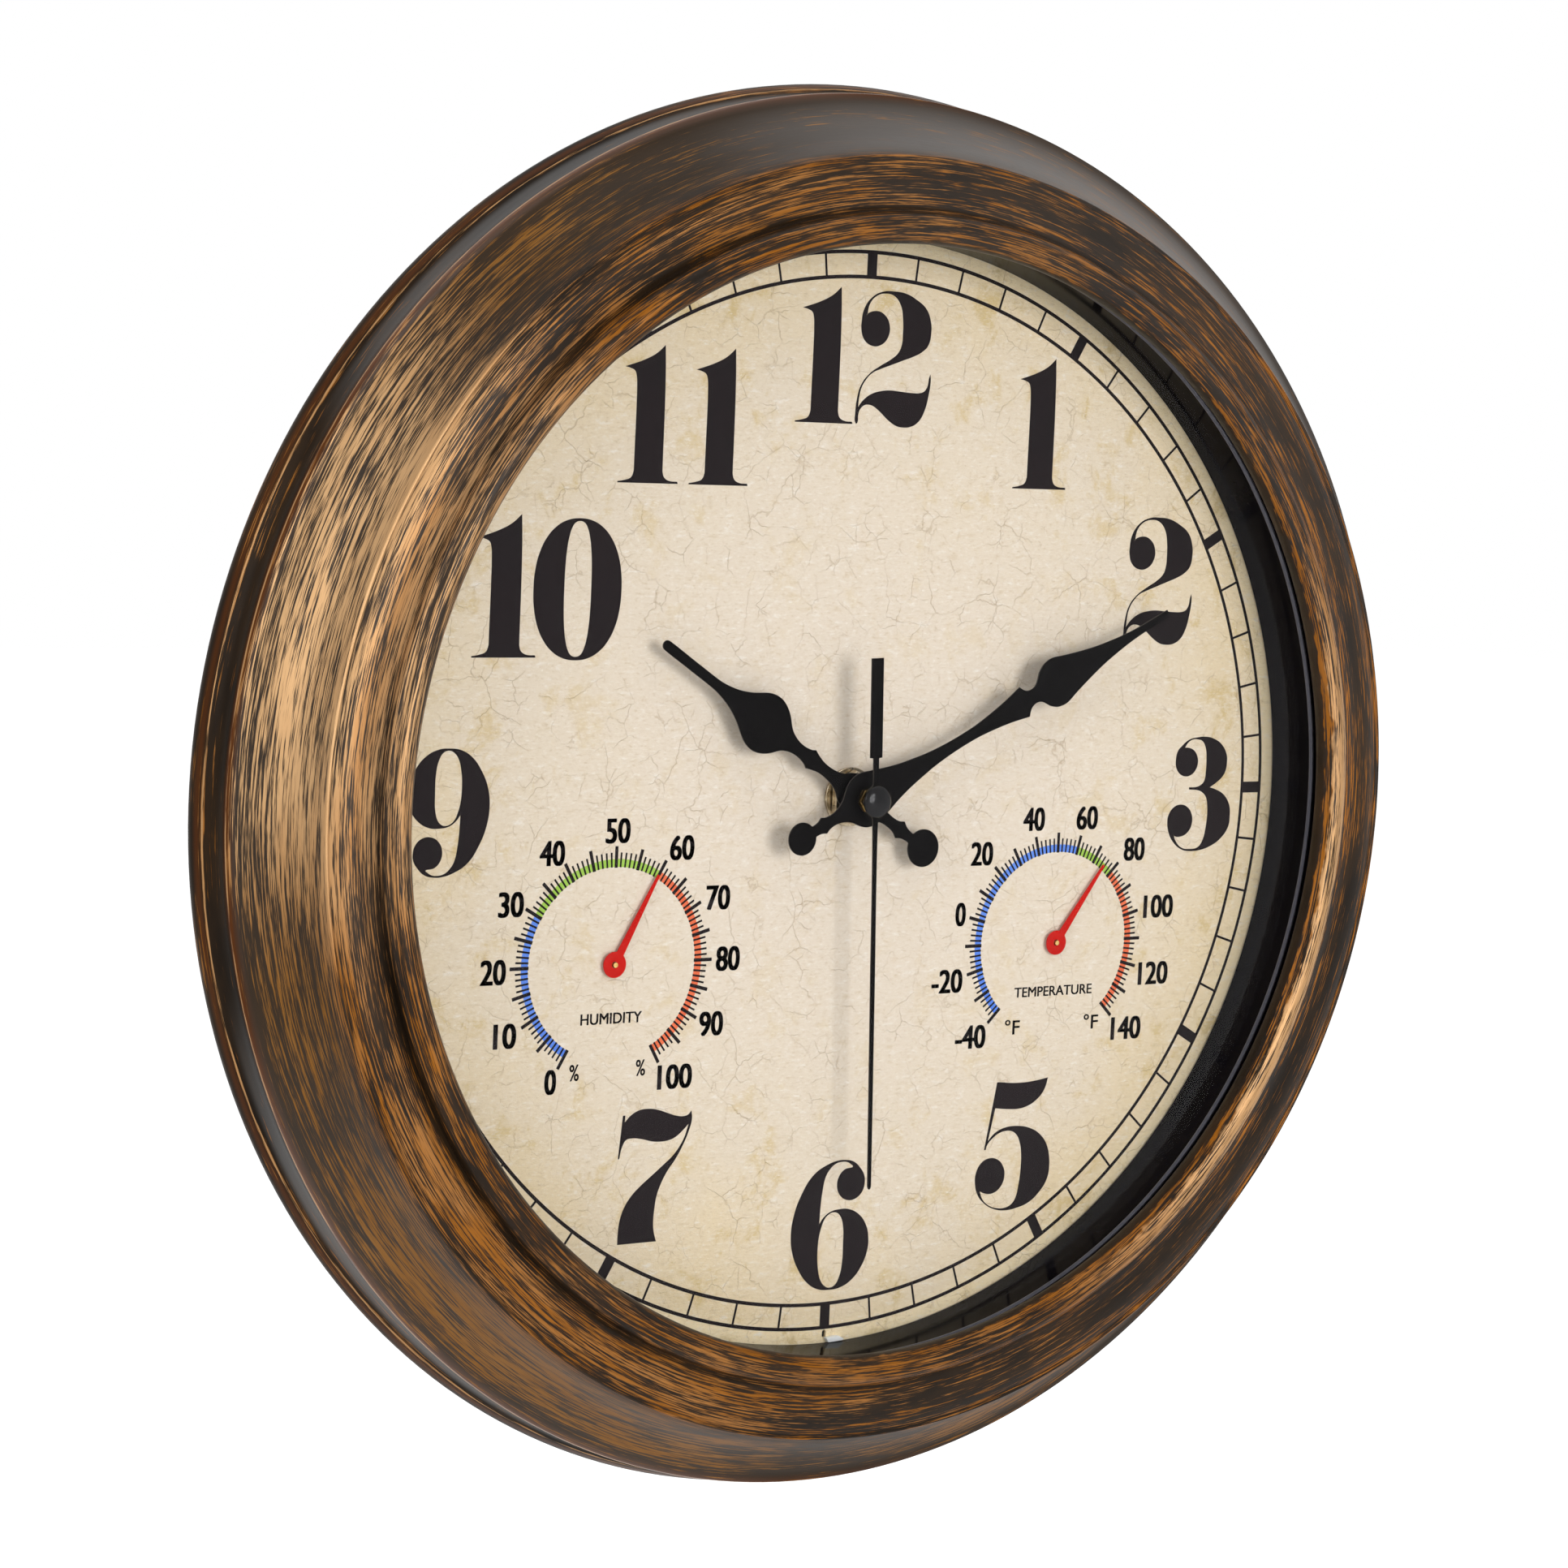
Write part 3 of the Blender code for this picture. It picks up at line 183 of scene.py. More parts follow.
def tidyMesh(mesh, sharpAngle):
    work = bmesh.new()
    work.from_mesh(mesh)
    bmesh.ops.remove_doubles(work, verts=work.verts, dist=2e-6)
    bmesh.ops.recalc_face_normals(work, faces=work.faces)
    work.to_mesh(mesh)
    work.free()
    return shaded(mesh, sharpAngle)


def joined(meshes):
    work = bmesh.new()
    for mesh in meshes:
        work.from_mesh(mesh)
    return newMesh("joined", work)


def newObject(name, data):
    made = bpy.data.objects.new(name, data)
    scene.collection.objects.link(made)
    return made


def addPiece(name, mesh, material, body, node=None):
    mesh.name = name
    mesh.materials.clear()
    mesh.materials.append(material)
    piece = newObject(name, mesh)
    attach(piece, body)
    if node:
        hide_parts(node)


def plainMesh(name, holder):
    # the evaluated curve, text or node tree as a plain mesh; the holder goes
    graph = bpy.context.evaluated_depsgraph_get()
    mesh = bpy.data.meshes.new_from_object(holder.evaluated_get(graph))
    mesh.name = name
    holder.modifiers.clear()
    bpy.data.objects.remove(holder)
    return mesh


def standUp(mesh, x=0.0, z=0.0, depth=0.0, turn=0.0):
    # a flat drawing in X and Y is stood up facing -Y, turned clockwise, and set at its place
    upright = mathutils.Matrix.Rotation(math.radians(90), 4, "X")
    turned = mathutils.Matrix.Rotation(math.radians(turn), 4, "Y")
    mesh.transform(mathutils.Matrix.Translation((x * mm, -depth * mm, z * mm)) @ turned @ upright)
    return mesh


def flatCurve(name):
    drawn = bpy.data.curves.new(name, "CURVE")
    drawn.dimensions = "2D"
    drawn.fill_mode = "BOTH"
    return drawn


def addLine(drawn, points, closed=True):
    # points: (x, y) in metres
    spline = drawn.splines.new("POLY")
    spline.points.add(len(points) - 1)
    for point, (x, y) in zip(spline.points, points):
        point.co = (x, y, 0.0, 1.0)
    spline.use_cyclic_u = closed


def flatPlate(name, outlines, back, front, bevel=0.0, sharpAngle=32, x=0.0, z=0.0, turn=0.0):
    # outlines: closed lists of points, of which later ones are holes
    drawn = flatCurve(name)
    for outline in outlines:
        addLine(drawn, [(x * mm, y * mm) for x, y in outline])
    drawn.extrude = ((front - back) / 2 - bevel) * mm
    drawn.bevel_depth = bevel * mm
    drawn.offset = -bevel * mm
    drawn.bevel_resolution = 1
    mesh = standUp(plainMesh(name, newObject(name, drawn)), x, z, (front + back) / 2, turn)
    return tidyMesh(mesh, sharpAngle)


# Geometry Nodes trees

def newTree(name, inputs):
    tree = bpy.data.node_groups.new(name, "GeometryNodeTree")
    for label, kind in (("Geometry", "Geometry"), *inputs, ("Finish", "Material")):
        tree.interface.new_socket(label, in_out="INPUT", socket_type="NodeSocket" + kind)
    tree.interface.new_socket("Geometry", in_out="OUTPUT", socket_type="NodeSocketGeometry")
    return tree, {socket.name: Wire(tree, socket) for socket in addNode(tree, "NodeGroupInput").outputs}


def endTree(tree, geometry, finish):
    real = wire(tree, "GeometryNodeRealizeInstances", {"Geometry": geometry})
    painted = wire(tree, "GeometryNodeSetMaterial", {"Geometry": real, "Material": finish})
    addNode(tree, "NodeGroupOutput", {"Geometry": painted})
    return tree


def buildSweepTree():
    # a section of the moulding, carried round the dial's axis
    tree, given = newTree("roundMoulding", (("Radius", "Float"), ("Steps", "Int")))
    path = wire(tree, "GeometryNodeCurvePrimitiveCircle",
                {"Resolution": given["Steps"], "Radius": given["Radius"]}, "Curve")
    skin = wire(tree, "GeometryNodeCurveToMesh", {"Curve": path, "Profile Curve": given["Geometry"]}, "Mesh")
    upright = wire(tree, "GeometryNodeTransform",
                   {"Geometry": skin, "Rotation": (math.radians(90), 0.0, 0.0)})
    return endTree(tree, upright, given["Finish"])


def buildTickTree():
    # bars set round a centre at even steps, each pointing outward
    labels = ("First Angle", "Step Angle", "Radius", "Length", "Width", "Thickness",
              "Centre X", "Centre Z", "Depth")
    tree, given = newTree("roundTicks", (("Count", "Int"), *((label, "Float") for label in labels)))
    row = wire(tree, "GeometryNodeMeshLine", {"Count": given["Count"]}, "Mesh", mode="OFFSET")
    angle = wire(tree, "GeometryNodeInputIndex") * given["Step Angle"] + given["First Angle"]
    place = wire(tree, "ShaderNodeCombineXYZ", {
        "X": angle.through("SINE") * given["Radius"] + given["Centre X"], "Y": given["Depth"] * -1.0,
        "Z": angle.through("COSINE") * given["Radius"] + given["Centre Z"]})
    points = wire(tree, "GeometryNodeSetPosition", {"Geometry": row, "Position": place})
    size = wire(tree, "ShaderNodeCombineXYZ",
                {"X": given["Width"], "Y": given["Thickness"], "Z": given["Length"]})
    bar = wire(tree, "GeometryNodeMeshCube", {"Size": size}, "Mesh")
    turn = wire(tree, "ShaderNodeCombineXYZ", {"Y": angle})
    bars = wire(tree, "GeometryNodeInstanceOnPoints", {"Points": points, "Instance": bar, "Rotation": turn})
    return endTree(tree, bars, given["Finish"])


def runTree(name, base, tree, values):
    holder = newObject(name, base)
    modifier = holder.modifiers.new("grow", "NODES")
    modifier.node_group = tree
    sockets = {item.name: item.identifier for item in tree.interface.items_tree
               if item.item_type == "SOCKET" and item.in_out == "INPUT"}
    for label, value in values.items():
        modifier[sockets[label]] = value
    return plainMesh(name, holder)


sweepTree = buildSweepTree()
tickTree = buildTickTree()


def sweepRound(name, section, finish, steps=240, closed=True, sharpAngle=32):
    # section: (radius, depth)
    drawn = bpy.data.curves.new(name + "Section", "CURVE")
    drawn.dimensions = "3D"
    path = 0.1
    addLine(drawn, [(radius * mm - path, -depth * mm) for radius, depth in section], closed)
    mesh = runTree(name, drawn, sweepTree, {"Radius": path, "Steps": steps, "Finish": finish})
    return tidyMesh(mesh, sharpAngle)


# Materials

def acrossDial(place):
    # the place laid flat on the dial, its distance from the centre, and its Y
    x, y, z = split(place)
    flat = wire(place.tree, "ShaderNodeCombineXYZ", {"X": x, "Z": z})
    return flat, wire(place.tree, "ShaderNodeVectorMath", {0: flat}, "Value", operation="LENGTH"), y


def bronzePaint():
    # near-black brown base with copper paint dry-brushed round the ring, with painted light, highlights and
    # shade laid into it; places are in metres
    material, place = newMaterial("bronzePaint")
    tree = place.tree
    flat, radius, y = acrossDial(place)
    x, _, z = split(wire(tree, "ShaderNodeVectorMath", {0: flat}, "Vector", operation="NORMALIZE"))
    depth = y * -1.0

    def strokes(along, across, detail, roughness):
        vector = wire(tree, "ShaderNodeCombineXYZ", {"X": x * along, "Y": radius * across, "Z": z * along})
        inputs = {"Vector": vector, "W": y * across, "Scale": 1.0, "Detail": detail, "Roughness": roughness}
        return wire(tree, "ShaderNodeTexNoise", inputs, "Fac", noise_dimensions="4D")

    def near(value, centre, reach):
        return (value - centre * mm).through("ABSOLUTE").step(0.0, reach * mm, 1.0, 0.0)

    hair = strokes(11.0, 3000.0, 3.0, 0.7)
    bristle = strokes(12.0, 1100.0, 3.0, 0.65)
    patch = strokes(3.6, 90.0, 4.0, 0.6)
    dents = strokes(30.0, 420.0, 2.0, 0.55)
    tone = strokes(6.0, 300.0, 2.0, 0.5)

    # parts of the ring by direction, then by place on the moulding
    front = depth.step(0.0230, 0.0240)
    behind = 1.0 - front
    side = z * 0.30 - x * 0.954
    # the front on the left, painted lighter in copper and ground as painted light from the lamp on the left
    paintedLitSide = front * side.step(0.83, 0.985)
    right = x.step(0.0, 0.8)
    notRight = x.step(0.30, -0.10)
    upperRight = (x * 0.64 + z * 0.77).step(0.45, 0.95)
    upperLeft = (z * 0.87 - x * 0.50).step(0.86, 0.98)
    lowerLeft = (x * -0.64 - z * 0.77).step(0.80, 0.97)
    lowerRight = (x * 0.95 - z * 0.31).step(0.60, 0.98)
    band = near(radius, 141.8, 7.0)
    cove = radius.step(0.1480, 0.1496) * (front - paintedLitSide)
    sideCove = depth.step(0.0145, 0.0160) * behind
    wavyDepth = depth + (dents - 0.5) * 0.0022
    bead = radius.step(0.1362, 0.1350)
    crest = bead * wavyDepth.step(0.0437, 0.0443)
    inside = radius.step(0.1322, 0.1318)
    innerWall = inside * wavyDepth.step(0.0438, 0.0434)
    # painted shade: the bead's inner face towards the glass takes no copper and stays dark
    lip = inside * wavyDepth.step(0.0430, 0.0420)
    # painted highlights: bright copper lines on the shoulder, the step at r 148 and the side bead, kept to
    # the sides that face the light
    shoulder = near(depth, 14.1, 0.45) * radius.step(0.1630, 0.1634)
    ridgeHighlight = near(radius, 148.0, 0.5) * side.step(0.84, 0.97)
    edges = ridgeHighlight.larger(near(depth, 22.9, 0.45).larger(shoulder) * notRight)
    # painted shade: the groove by the inner bead and the foot of the broad cove take less copper, so they
    # read dark
    hollowShade = near(radius, 136.1, 1.6).larger(near(radius, 160.4, 1.8))

    # how much copper each part took: more on the front and towards the left, less on the sides and towards
    # the right; more on the left side facing the lamp, on the edge lines and on the lower right crest as
    # painted light, less in the grooves and inside the bead as painted shade
    worn = hair + (bristle - 0.5) * 0.26 + (patch - 0.5) * 0.38 - behind * 0.11 + paintedLitSide * 0.054 + edges * 0.20
    worn += band * (lowerLeft * 0.110 + upperLeft * 0.040 - right * 0.035 - paintedLitSide * 0.052 - (1.0 - paintedLitSide) * 0.064)
    worn += cove * (lowerLeft * 0.076 - notRight * 0.042 - upperRight * 0.080)
    worn += bead * (lowerLeft * -0.030 - paintedLitSide * 0.060) + crest * lowerRight * 0.09 + innerWall * right * 0.05
    worn = worn - lip * 0.25 - hollowShade * (1.0 - paintedLitSide * 0.6) * 0.08 - 0.026
    brush = worn.step(0.448, 0.572)

    # the copper's pale tone varies at random and along the band, and is painted darker towards the right as
    # painted shade
    light = (tone.step(0.35, 0.65) * 0.18 + band * 0.04) * (1.0 - right * 0.7)
    # painted light: the copper is painted paler on the left side facing the lamp, less so on the band and the
    # bead
    light += paintedLitSide * (1.0 - band * 0.62) * (1.0 - bead * 0.3) * 0.90
    # painted highlights: the edge lines, and the bead's crest on the lower right, take the palest copper
    light = light.larger(edges * 0.70).larger(crest * lowerRight * 0.8, clamp=True)
    copper = mixColour(light, (140, 83, 12), (195, 155, 110))
    copper = mixColour(cove * 0.7, copper, (113, 77, 30))
    # painted glow: an orange-brown ground beside the side bead and the shoulder lines, left off on the right
    sideGlow = (depth.step(0.0185, 0.0226) * behind).larger(near(depth, 12.8, 1.4) * 0.6) * notRight
    under = mixColour(patch.step(0.35, 0.65), (28, 20, 12), (50, 35, 20))
    # the ground is painted lighter on the left side facing the lamp, as painted light
    under = layered(under, (
        (cove * 0.6, (54, 41, 28)), (paintedLitSide * 0.6, (62, 52, 44)), (sideGlow * 0.75, (98, 50, 10))))

    # satin sheen where the sides catch the light
    gloss = front.step(0.0, 1.0, 0.06, 0.11) + front * upperRight * 0.10 + cove * lowerLeft * 0.14
    gloss += lowerLeft.larger(upperLeft) * sideCove * 0.75 + cove * upperRight * radius.step(0.1640, 0.1550)
    # the inner bead is dented a little along its length
    grain = bump(dents * bead * 5.0 + worn, 0.00004, 0.7)
    return principled(material, {
        "Base Color": mixColour(brush, under, copper), "Roughness": hair.step(0.3, 0.7, 0.32, 0.42),
        "Metallic": brush * 0.3, "Normal": grain, "Specular IOR Level": gloss})


def parchmentPrint():
    # aged paper: cream in the middle, browner blotches outward, fine cracks and grain
    material, place = newMaterial("parchmentPrint")
    tree = place.tree
    flat, radius, _ = acrossDial(place)
    cloud = noise(flat, 9.0, 4.0, 0.55, 0.3)
    mottle = noise(flat, 42.0, 5.0, 0.62, 0.4)
    fine = noise(flat, 700.0, 4.0, 0.65)
    stain = noise(flat, 75.0, 6.0, 0.72, 0.3)
    wide = wire(tree, "ShaderNodeMapping", {"Vector": flat, "Scale": (0.7, 1.0, 1.9)})
    plaster = noise(wide, 330.0, 5.0, 0.66)
    grit = noise(wide, 900.0, 3.0, 0.7)
    age = radius + (cloud - 0.5) * 0.070 + (mottle - 0.5) * 0.040

    def cracks(scale, width):
        shove = wire(tree, "ShaderNodeTexNoise",
                     {"Vector": flat, "Scale": scale * 1.9, "Detail": 4.0}, "Color")
        wander = wire(tree, "ShaderNodeVectorMath", {0: shove, 1: (0.45 / scale,) * 3, 2: flat}, "Vector",
                      operation="MULTIPLY_ADD")
        gap = wire(tree, "ShaderNodeTexVoronoi", {"Vector": wander, "Scale": scale}, "Distance",
                   feature="DISTANCE_TO_EDGE")
        return gap.step(0.0, width, 1.0, 0.0) * noise(flat, scale * 0.8, 2.0).step(0.44, 0.66)

    broad, small = cracks(70.0, 0.012), cracks(170.0, 0.026)
    crackBrown = (172, 144, 102)
    colour = mixColour(age.step(0.030, 0.110), (229, 216, 196), (229, 215, 191))
    colour = layered(colour, (
        (age.step(0.092, 0.140), (233, 213, 173)),
        # painted light: the paper next to the black ring is painted lighter against the ring's shade
        (radius.step(0.1235, 0.1295, 0.0, 0.8), (255, 236, 192)),
        (stain.step(0.52, 0.66) * age.step(0.05, 0.125, 0.20, 0.80), (213, 188, 130)),
        (plaster.step(0.54, 0.70, 0.0, 0.55), (244, 238, 226)),
        (plaster.step(0.46, 0.30, 0.0, 0.42), (208, 187, 152)),
        (fine.step(0.62, 0.80, 0.0, 0.30), (170, 142, 100)),
        (grit.step(0.54, 0.72, 0.0, 0.50), (250, 244, 232)),
        (grit.step(0.46, 0.28, 0.0, 0.46), (196, 172, 134)),
        (broad * 0.34, crackBrown), (small * 0.30, crackBrown)))
    relief = bump(plaster * 1.8 + fine + grit - broad - small, 0.00016, 0.7)
    return principled(material, {
        "Base Color": colour, "Roughness": 0.62, "Normal": relief, "Specular IOR Level": 0.1})


def speckled(name, dark, light, scale, dull, rough, relief=0.0, coat=0.0, specular=0.5, index=1.5):
    # a plain finish with fine variation in tone, in surface, and in roughness from dull to rough
    material, place = newMaterial(name)
    fine = noise(place, scale, 4.0, 0.6)
    broad = noise(place, scale * 0.09, 3.0, 0.5)
    inputs = {"Base Color": mixColour((broad * 0.6 + fine * 0.4).step(0.30, 0.70), dark, light),
              "Roughness": broad.step(0.3, 0.7, dull, rough), "Coat Weight": coat, "Coat Roughness": 0.08,
              "Specular IOR Level": specular, "IOR": index}
    if relief:
        inputs["Normal"] = bump(fine, relief, 0.6)
    return principled(material, inputs)


def handPaint():
    # black paint, worn to the metal on the stamped edges
    material, place = newMaterial("handPaint")
    facing = split(wire(place.tree, "ShaderNodeTexCoord", output="Normal"))[1].through("ABSOLUTE")
    bare = facing.step(0.93, 0.60)
    fine = noise(place, 1500.0, 3.0, 0.6)
    colour = mixColour(fine, (9, 8, 8), (14, 12, 12))
    colour = mixColour(bare, colour, (84, 80, 76))
    return principled(material, {
        "Base Color": colour, "Roughness": fine.step(0.3, 0.7, 0.42, 0.56), "Metallic": bare * 0.6,
        "Specular IOR Level": 0.025, "Normal": bump(fine, 0.00001, 0.5)})


def rolledMetal(name, dark, light, stretch, dull, rough, scale=1400.0):
    # metal with fine lines from rolling or turning; stretch squeezes the pattern along each axis
    material, place = newMaterial(name)
    drawn = wire(place.tree, "ShaderNodeMapping", {"Vector": place, "Scale": stretch})
    lines = noise(drawn, scale, 3.0, 0.6)
    spots = noise(place, 260.0, 3.0, 0.5)
    return principled(material, {
        "Base Color": mixColour(lines.step(0.3, 0.7), dark, light), "Metallic": 1.0,
        "Roughness": spots.step(0.3, 0.7, dull, rough), "Normal": bump(lines, 0.00001, 0.5)})


def clearGlass():
    material, place = newMaterial("clearGlass")
    tree = place.tree
    smear = noise(place, 22.0, 2.0, 0.5)
    share = wire(tree, "ShaderNodeFresnel", {"IOR": 1.45}) * 0.05
    through = wire(tree, "ShaderNodeBsdfTransparent", {"Color": (0.988, 0.987, 0.993, 1.0)})
    shine = wire(tree, "ShaderNodeBsdfGlossy",
                 {"Color": white, "Roughness": smear.step(0.3, 0.7, 0.05, 0.09)})
    return finished(material, wire(tree, "ShaderNodeMixShader", {0: share, 1: through, 2: shine}))


materials = {
    "bronze": bronzePaint(),
    "gloss_black": speckled("glossBlack", (8, 7, 11), (12, 11, 15), 300.0, 0.10, 0.16, index=1.09),
    "clear_glass": clearGlass(),
    "black_rubber": speckled("blackRubber", (20, 20, 20), (34, 33, 33), 1600.0, 0.62, 0.80, relief=0.00003),
    "parchment": parchmentPrint(),
    "black_cover": speckled("blackCover", (28, 28, 28), (42, 41, 41), 2200.0, 0.48, 0.66, relief=0.00005),
    "case_black": speckled("caseBlack", (30, 30, 31), (44, 44, 45), 1800.0, 0.38, 0.55, relief=0.00003),
    "zinc": rolledMetal("zincPlate", (176, 176, 170), (220, 220, 214), (1.0, 1.0, 0.12), 0.22, 0.36),
    "hand_black": handPaint(),
    "pointer_red": speckled("pointerRed", (190, 20, 12), (204, 27, 17), 700.0, 0.40, 0.50, specular=0.08),
    "brass": rolledMetal("turnedBrass", (176, 138, 74), (218, 184, 116), (1.0, 3.0, 1.0), 0.20, 0.36),
    "white_gear": speckled("whiteGear", (222, 220, 212), (238, 236, 230), 900.0, 0.35, 0.5),
    "board_green": speckled("boardGreen", (26, 76, 50), (44, 104, 68), 1200.0, 0.28, 0.4, coat=0.3),
    "copper": rolledMetal("copperStrip", (176, 96, 62), (222, 142, 102), (1.0, 1.0, 0.2), 0.22, 0.4),
    "soft_iron": rolledMetal("softIron", (140, 138, 134), (178, 176, 172), (0.1, 1.0, 1.0), 0.3, 0.48),
    "battery_jacket": speckled("batteryJacket", (60, 62, 64), (84, 86, 88), 500.0, 0.2, 0.32, coat=0.4),
}
paleTab = speckled("paleTab", (240, 244, 240), (250, 252, 249), 600.0, 0.4, 0.5, specular=0.3)
capBlack = speckled("capBlack", (9, 8, 9), (13, 12, 13), 900.0, 0.14, 0.19, specular=0.2)
lipHighlightGrey = speckled("lipHighlightGrey", (76, 76, 84), (92, 92, 100), 600.0, 0.3, 0.4, specular=0.3)
agedNickel = rolledMetal("agedNickel", (156, 140, 112), (204, 190, 164), (1.0, 0.2, 1.0), 0.24, 0.4, 500.0)
printBlack = speckled("printBlack", (24, 18, 19), (30, 23, 24), 800.0, 0.5, 0.6, specular=0.08)
bandColours = {"Blue": ((84, 128, 222), (104, 146, 232)), "Green": ((150, 190, 68), (166, 204, 90)),
               "Orange": ((224, 100, 62), (236, 120, 78))}
bandInks = {hue: speckled("print" + hue, *tones, 900.0, 0.5, 0.62, specular=0.12)
            for hue, tones in bandColours.items()}
print("materials ready")

subparts = {item["node"]: item["material_slot"] for item in frame["record"]["subparts"]}
for nodeName, node in frame["nodes"].items():
    for place in node.material_slots:
        place.material = materials[subparts[nodeName]]
# the washer and the nut on show are remade in an older finish than the screws
finishes = {**materials, "zinc": agedNickel}


# The turned case: foot, side cove, bead, broad cove, crowned band, groove and inner bead

caseFront = {
    "foot": (157.5, 0.0),
    "shoulder": ((164.4, 9.0), (164.85, 9.7), (165.0, 10.4), (165.0, 11.0), (164.9, 11.6), (164.2, 13.2)),
    "sideCove": ((163.7, 14.2), (162.3, 22.0), 1.6),
    "sideBead": ((162.55, 22.4), (162.6, 22.85), (162.4, 23.3), (162.0, 23.55), (161.2, 23.75)),
    "broadCove": ((160.6, 23.9), (148.25, 40.7), 2.6, 22),
    "edge": ((148.05, 40.9), (147.8, 40.92), (147.5, 40.75)),
    "band": ((147.2, 40.6), (136.6, 41.2), -1.1, 16),
    "groove": ((136.2, 41.0), (135.8, 40.85)),
    "bead": (132.0, 41.1, 3.7, -4, 222, 23),
    "inside": ((129.3, 38.9), (138.4, 38.9), (138.4, 3.6), (141.0, 3.6),
               (143.85, 37.7), (157.6, 20.5), (161.5, 10.8), (154.5, 0.0)),
    "bossCircle": (144.4, 6, 33.75), "bossRadius": 4.0, "bossBack": 2.8, "bossFront": 38.4,
}


def bow(start, end, rise, steps=14):
    # points on an arc from start to end; a positive rise hollows towards the case's inside
    along = (end[0] - start[0], end[1] - start[1])
    chord = math.hypot(*along)
    made = []
    for i in range(steps + 1):
        share = i / steps
        lift = rise * 4 * share * (1 - share) / chord
        made.append((start[0] + along[0] * share - along[1] * lift,
                     start[1] + along[1] * share + along[0] * lift))
    return made


def makeCase():
    part = caseFront
    section = [part["foot"], *part["shoulder"], *bow(*part["sideCove"]), *part["sideBead"],
               *bow(*part["broadCove"]), *part["edge"], *bow(*part["band"]), *part["groove"],
               *arc(*part["bead"]), *part["inside"]]
    pieces = [sweepRound("caseMoulding", section, materials["bronze"])]
    back, front, radius = part["bossBack"], part["bossFront"], part["bossRadius"] * mm
    for x, z in ringPoints(*part["bossCircle"]):
        work = bmesh.new()
        bmesh.ops.create_cone(work, cap_ends=True, segments=20, radius1=radius, radius2=radius,
                              depth=(front - back) * mm)
        pieces.append(standUp(newMesh("boss", work), x, z, (front + back) / 2))
    addPiece("caseMoulding", shaded(joined(pieces)), materials["bronze"], "case", "frame_ring")


makeCase()
print("case turned")


# Glossy black ring round the dial, the lens seal and the washer at the centre

turnedPieces = {
    "dialRing": {
        "node": "inner_ring", "slot": "gloss_black", "steps": 240,
        "section": ((130.5, 20.8), (130.2, 21.1), (130.2, 35.4), (130.5, 35.7), (138.0, 35.7), (138.0, 34.2),
                    (132.2, 34.2), (132.2, 22.3), (138.0, 22.3), (138.0, 20.8))},
    "lensSeal": {
        "node": "lens_gasket", "slot": "black_rubber", "steps": 240,
        "section": ((129.6, 38.3), (129.5, 38.4), (129.5, 38.5), (129.6, 38.6), (138.0, 38.6),
                    (138.0, 38.3))},
    "centreWasher": {
        "node": "metal_washer", "slot": "zinc", "steps": 72,
        "section": ((4.3, 20.8), (6.85, 20.8), (6.95, 20.9), (6.95, 21.35), (6.85, 21.45), (4.4, 21.45),
                    (4.3, 21.35))},
}


def makeTurnedPieces():
    for name, part in turnedPieces.items():
        finish = finishes[part["slot"]]
        mesh = sweepRound(name, part["section"], finish, part["steps"])
        addPiece(name, mesh, finish, "case", part["node"])


makeTurnedPieces()

gaugeX, gaugeZ = 63.3, -36.95

# The dial is one printed disc; a pale tab holds it at 6 o'clock, and a thin grey lip on the black ring's
# front edge is a painted highlight

dialFace = {
    "back": 19.7, "front": 20.5, "radius": 138.0, "centreHole": 4.3, "gaugeHole": 0.9,
    "slotHalf": 0.55, "slotFoot": -129.1, "slotTop": -127.85,
    "tabFront": 21.9, "tabBevel": 0.1,
    "tab": ((-0.2, -129.0), (3.4, -128.75), (4.9, -129.55), (4.6, -129.95), (0.5, -130.1)),
    "lip": ((130.2, 35.0), (129.95, 35.2), (129.95, 35.5), (130.5, 35.9), (131.0, 35.72), (130.5, 35.2)),
}


def makeDial():
    part = dialFace
    half, foot = part["slotHalf"], part["slotFoot"]
    slot = [(-half, foot), (half, foot), *arc(0.0, part["slotTop"], half, 0, 180, 6)]
    holes = [arc(x, gaugeZ, part["gaugeHole"], 0, 360, 24)[:-1] for x in (-gaugeX, gaugeX)]
    outlines = [ringPoints(part["radius"], 240), ringPoints(part["centreHole"], 48), slot, *holes]
    disc = flatPlate("dialFace", outlines, part["back"], part["front"])
    addPiece("dialFace", disc, materials["parchment"], "case", "dial_plate")
    tab = flatPlate("dialTab", [part["tab"]], part["front"], part["tabFront"], part["tabBevel"])
    addPiece("dialTab", tab, paleTab, "case")
    # a grey lip on the ring's front edge, as a painted highlight
    addPiece("ringLipHighlight", sweepRound("ringLipHighlight", part["lip"], lipHighlightGrey), lipHighlightGrey, "case")


bushing = {"root": 3.72, "crest": 4.0, "bore": 2.9, "back": 17.6, "front": 24.2, "pitch": 0.55}


def makeBushing():
    # a threaded tube; the thread is drawn as rings
    bore, root, back, front, pitch = [bushing[key] for key in ("bore", "root", "back", "front", "pitch")]
    section = [(bore, front), (bore, back), (root, back)]
    depth = back + pitch / 2
    while depth < front - pitch:
        section += [(root, depth), (bushing["crest"], depth + pitch / 2)]
        depth += pitch
    section += [(root, front - 0.25), (root - 0.2, front)]
    mesh = sweepRound("centreBushing", section, materials["brass"], 64, sharpAngle=50)
    addPiece("centreBushing", mesh, materials["brass"], "case", "threaded_bushing")


makeBushing()

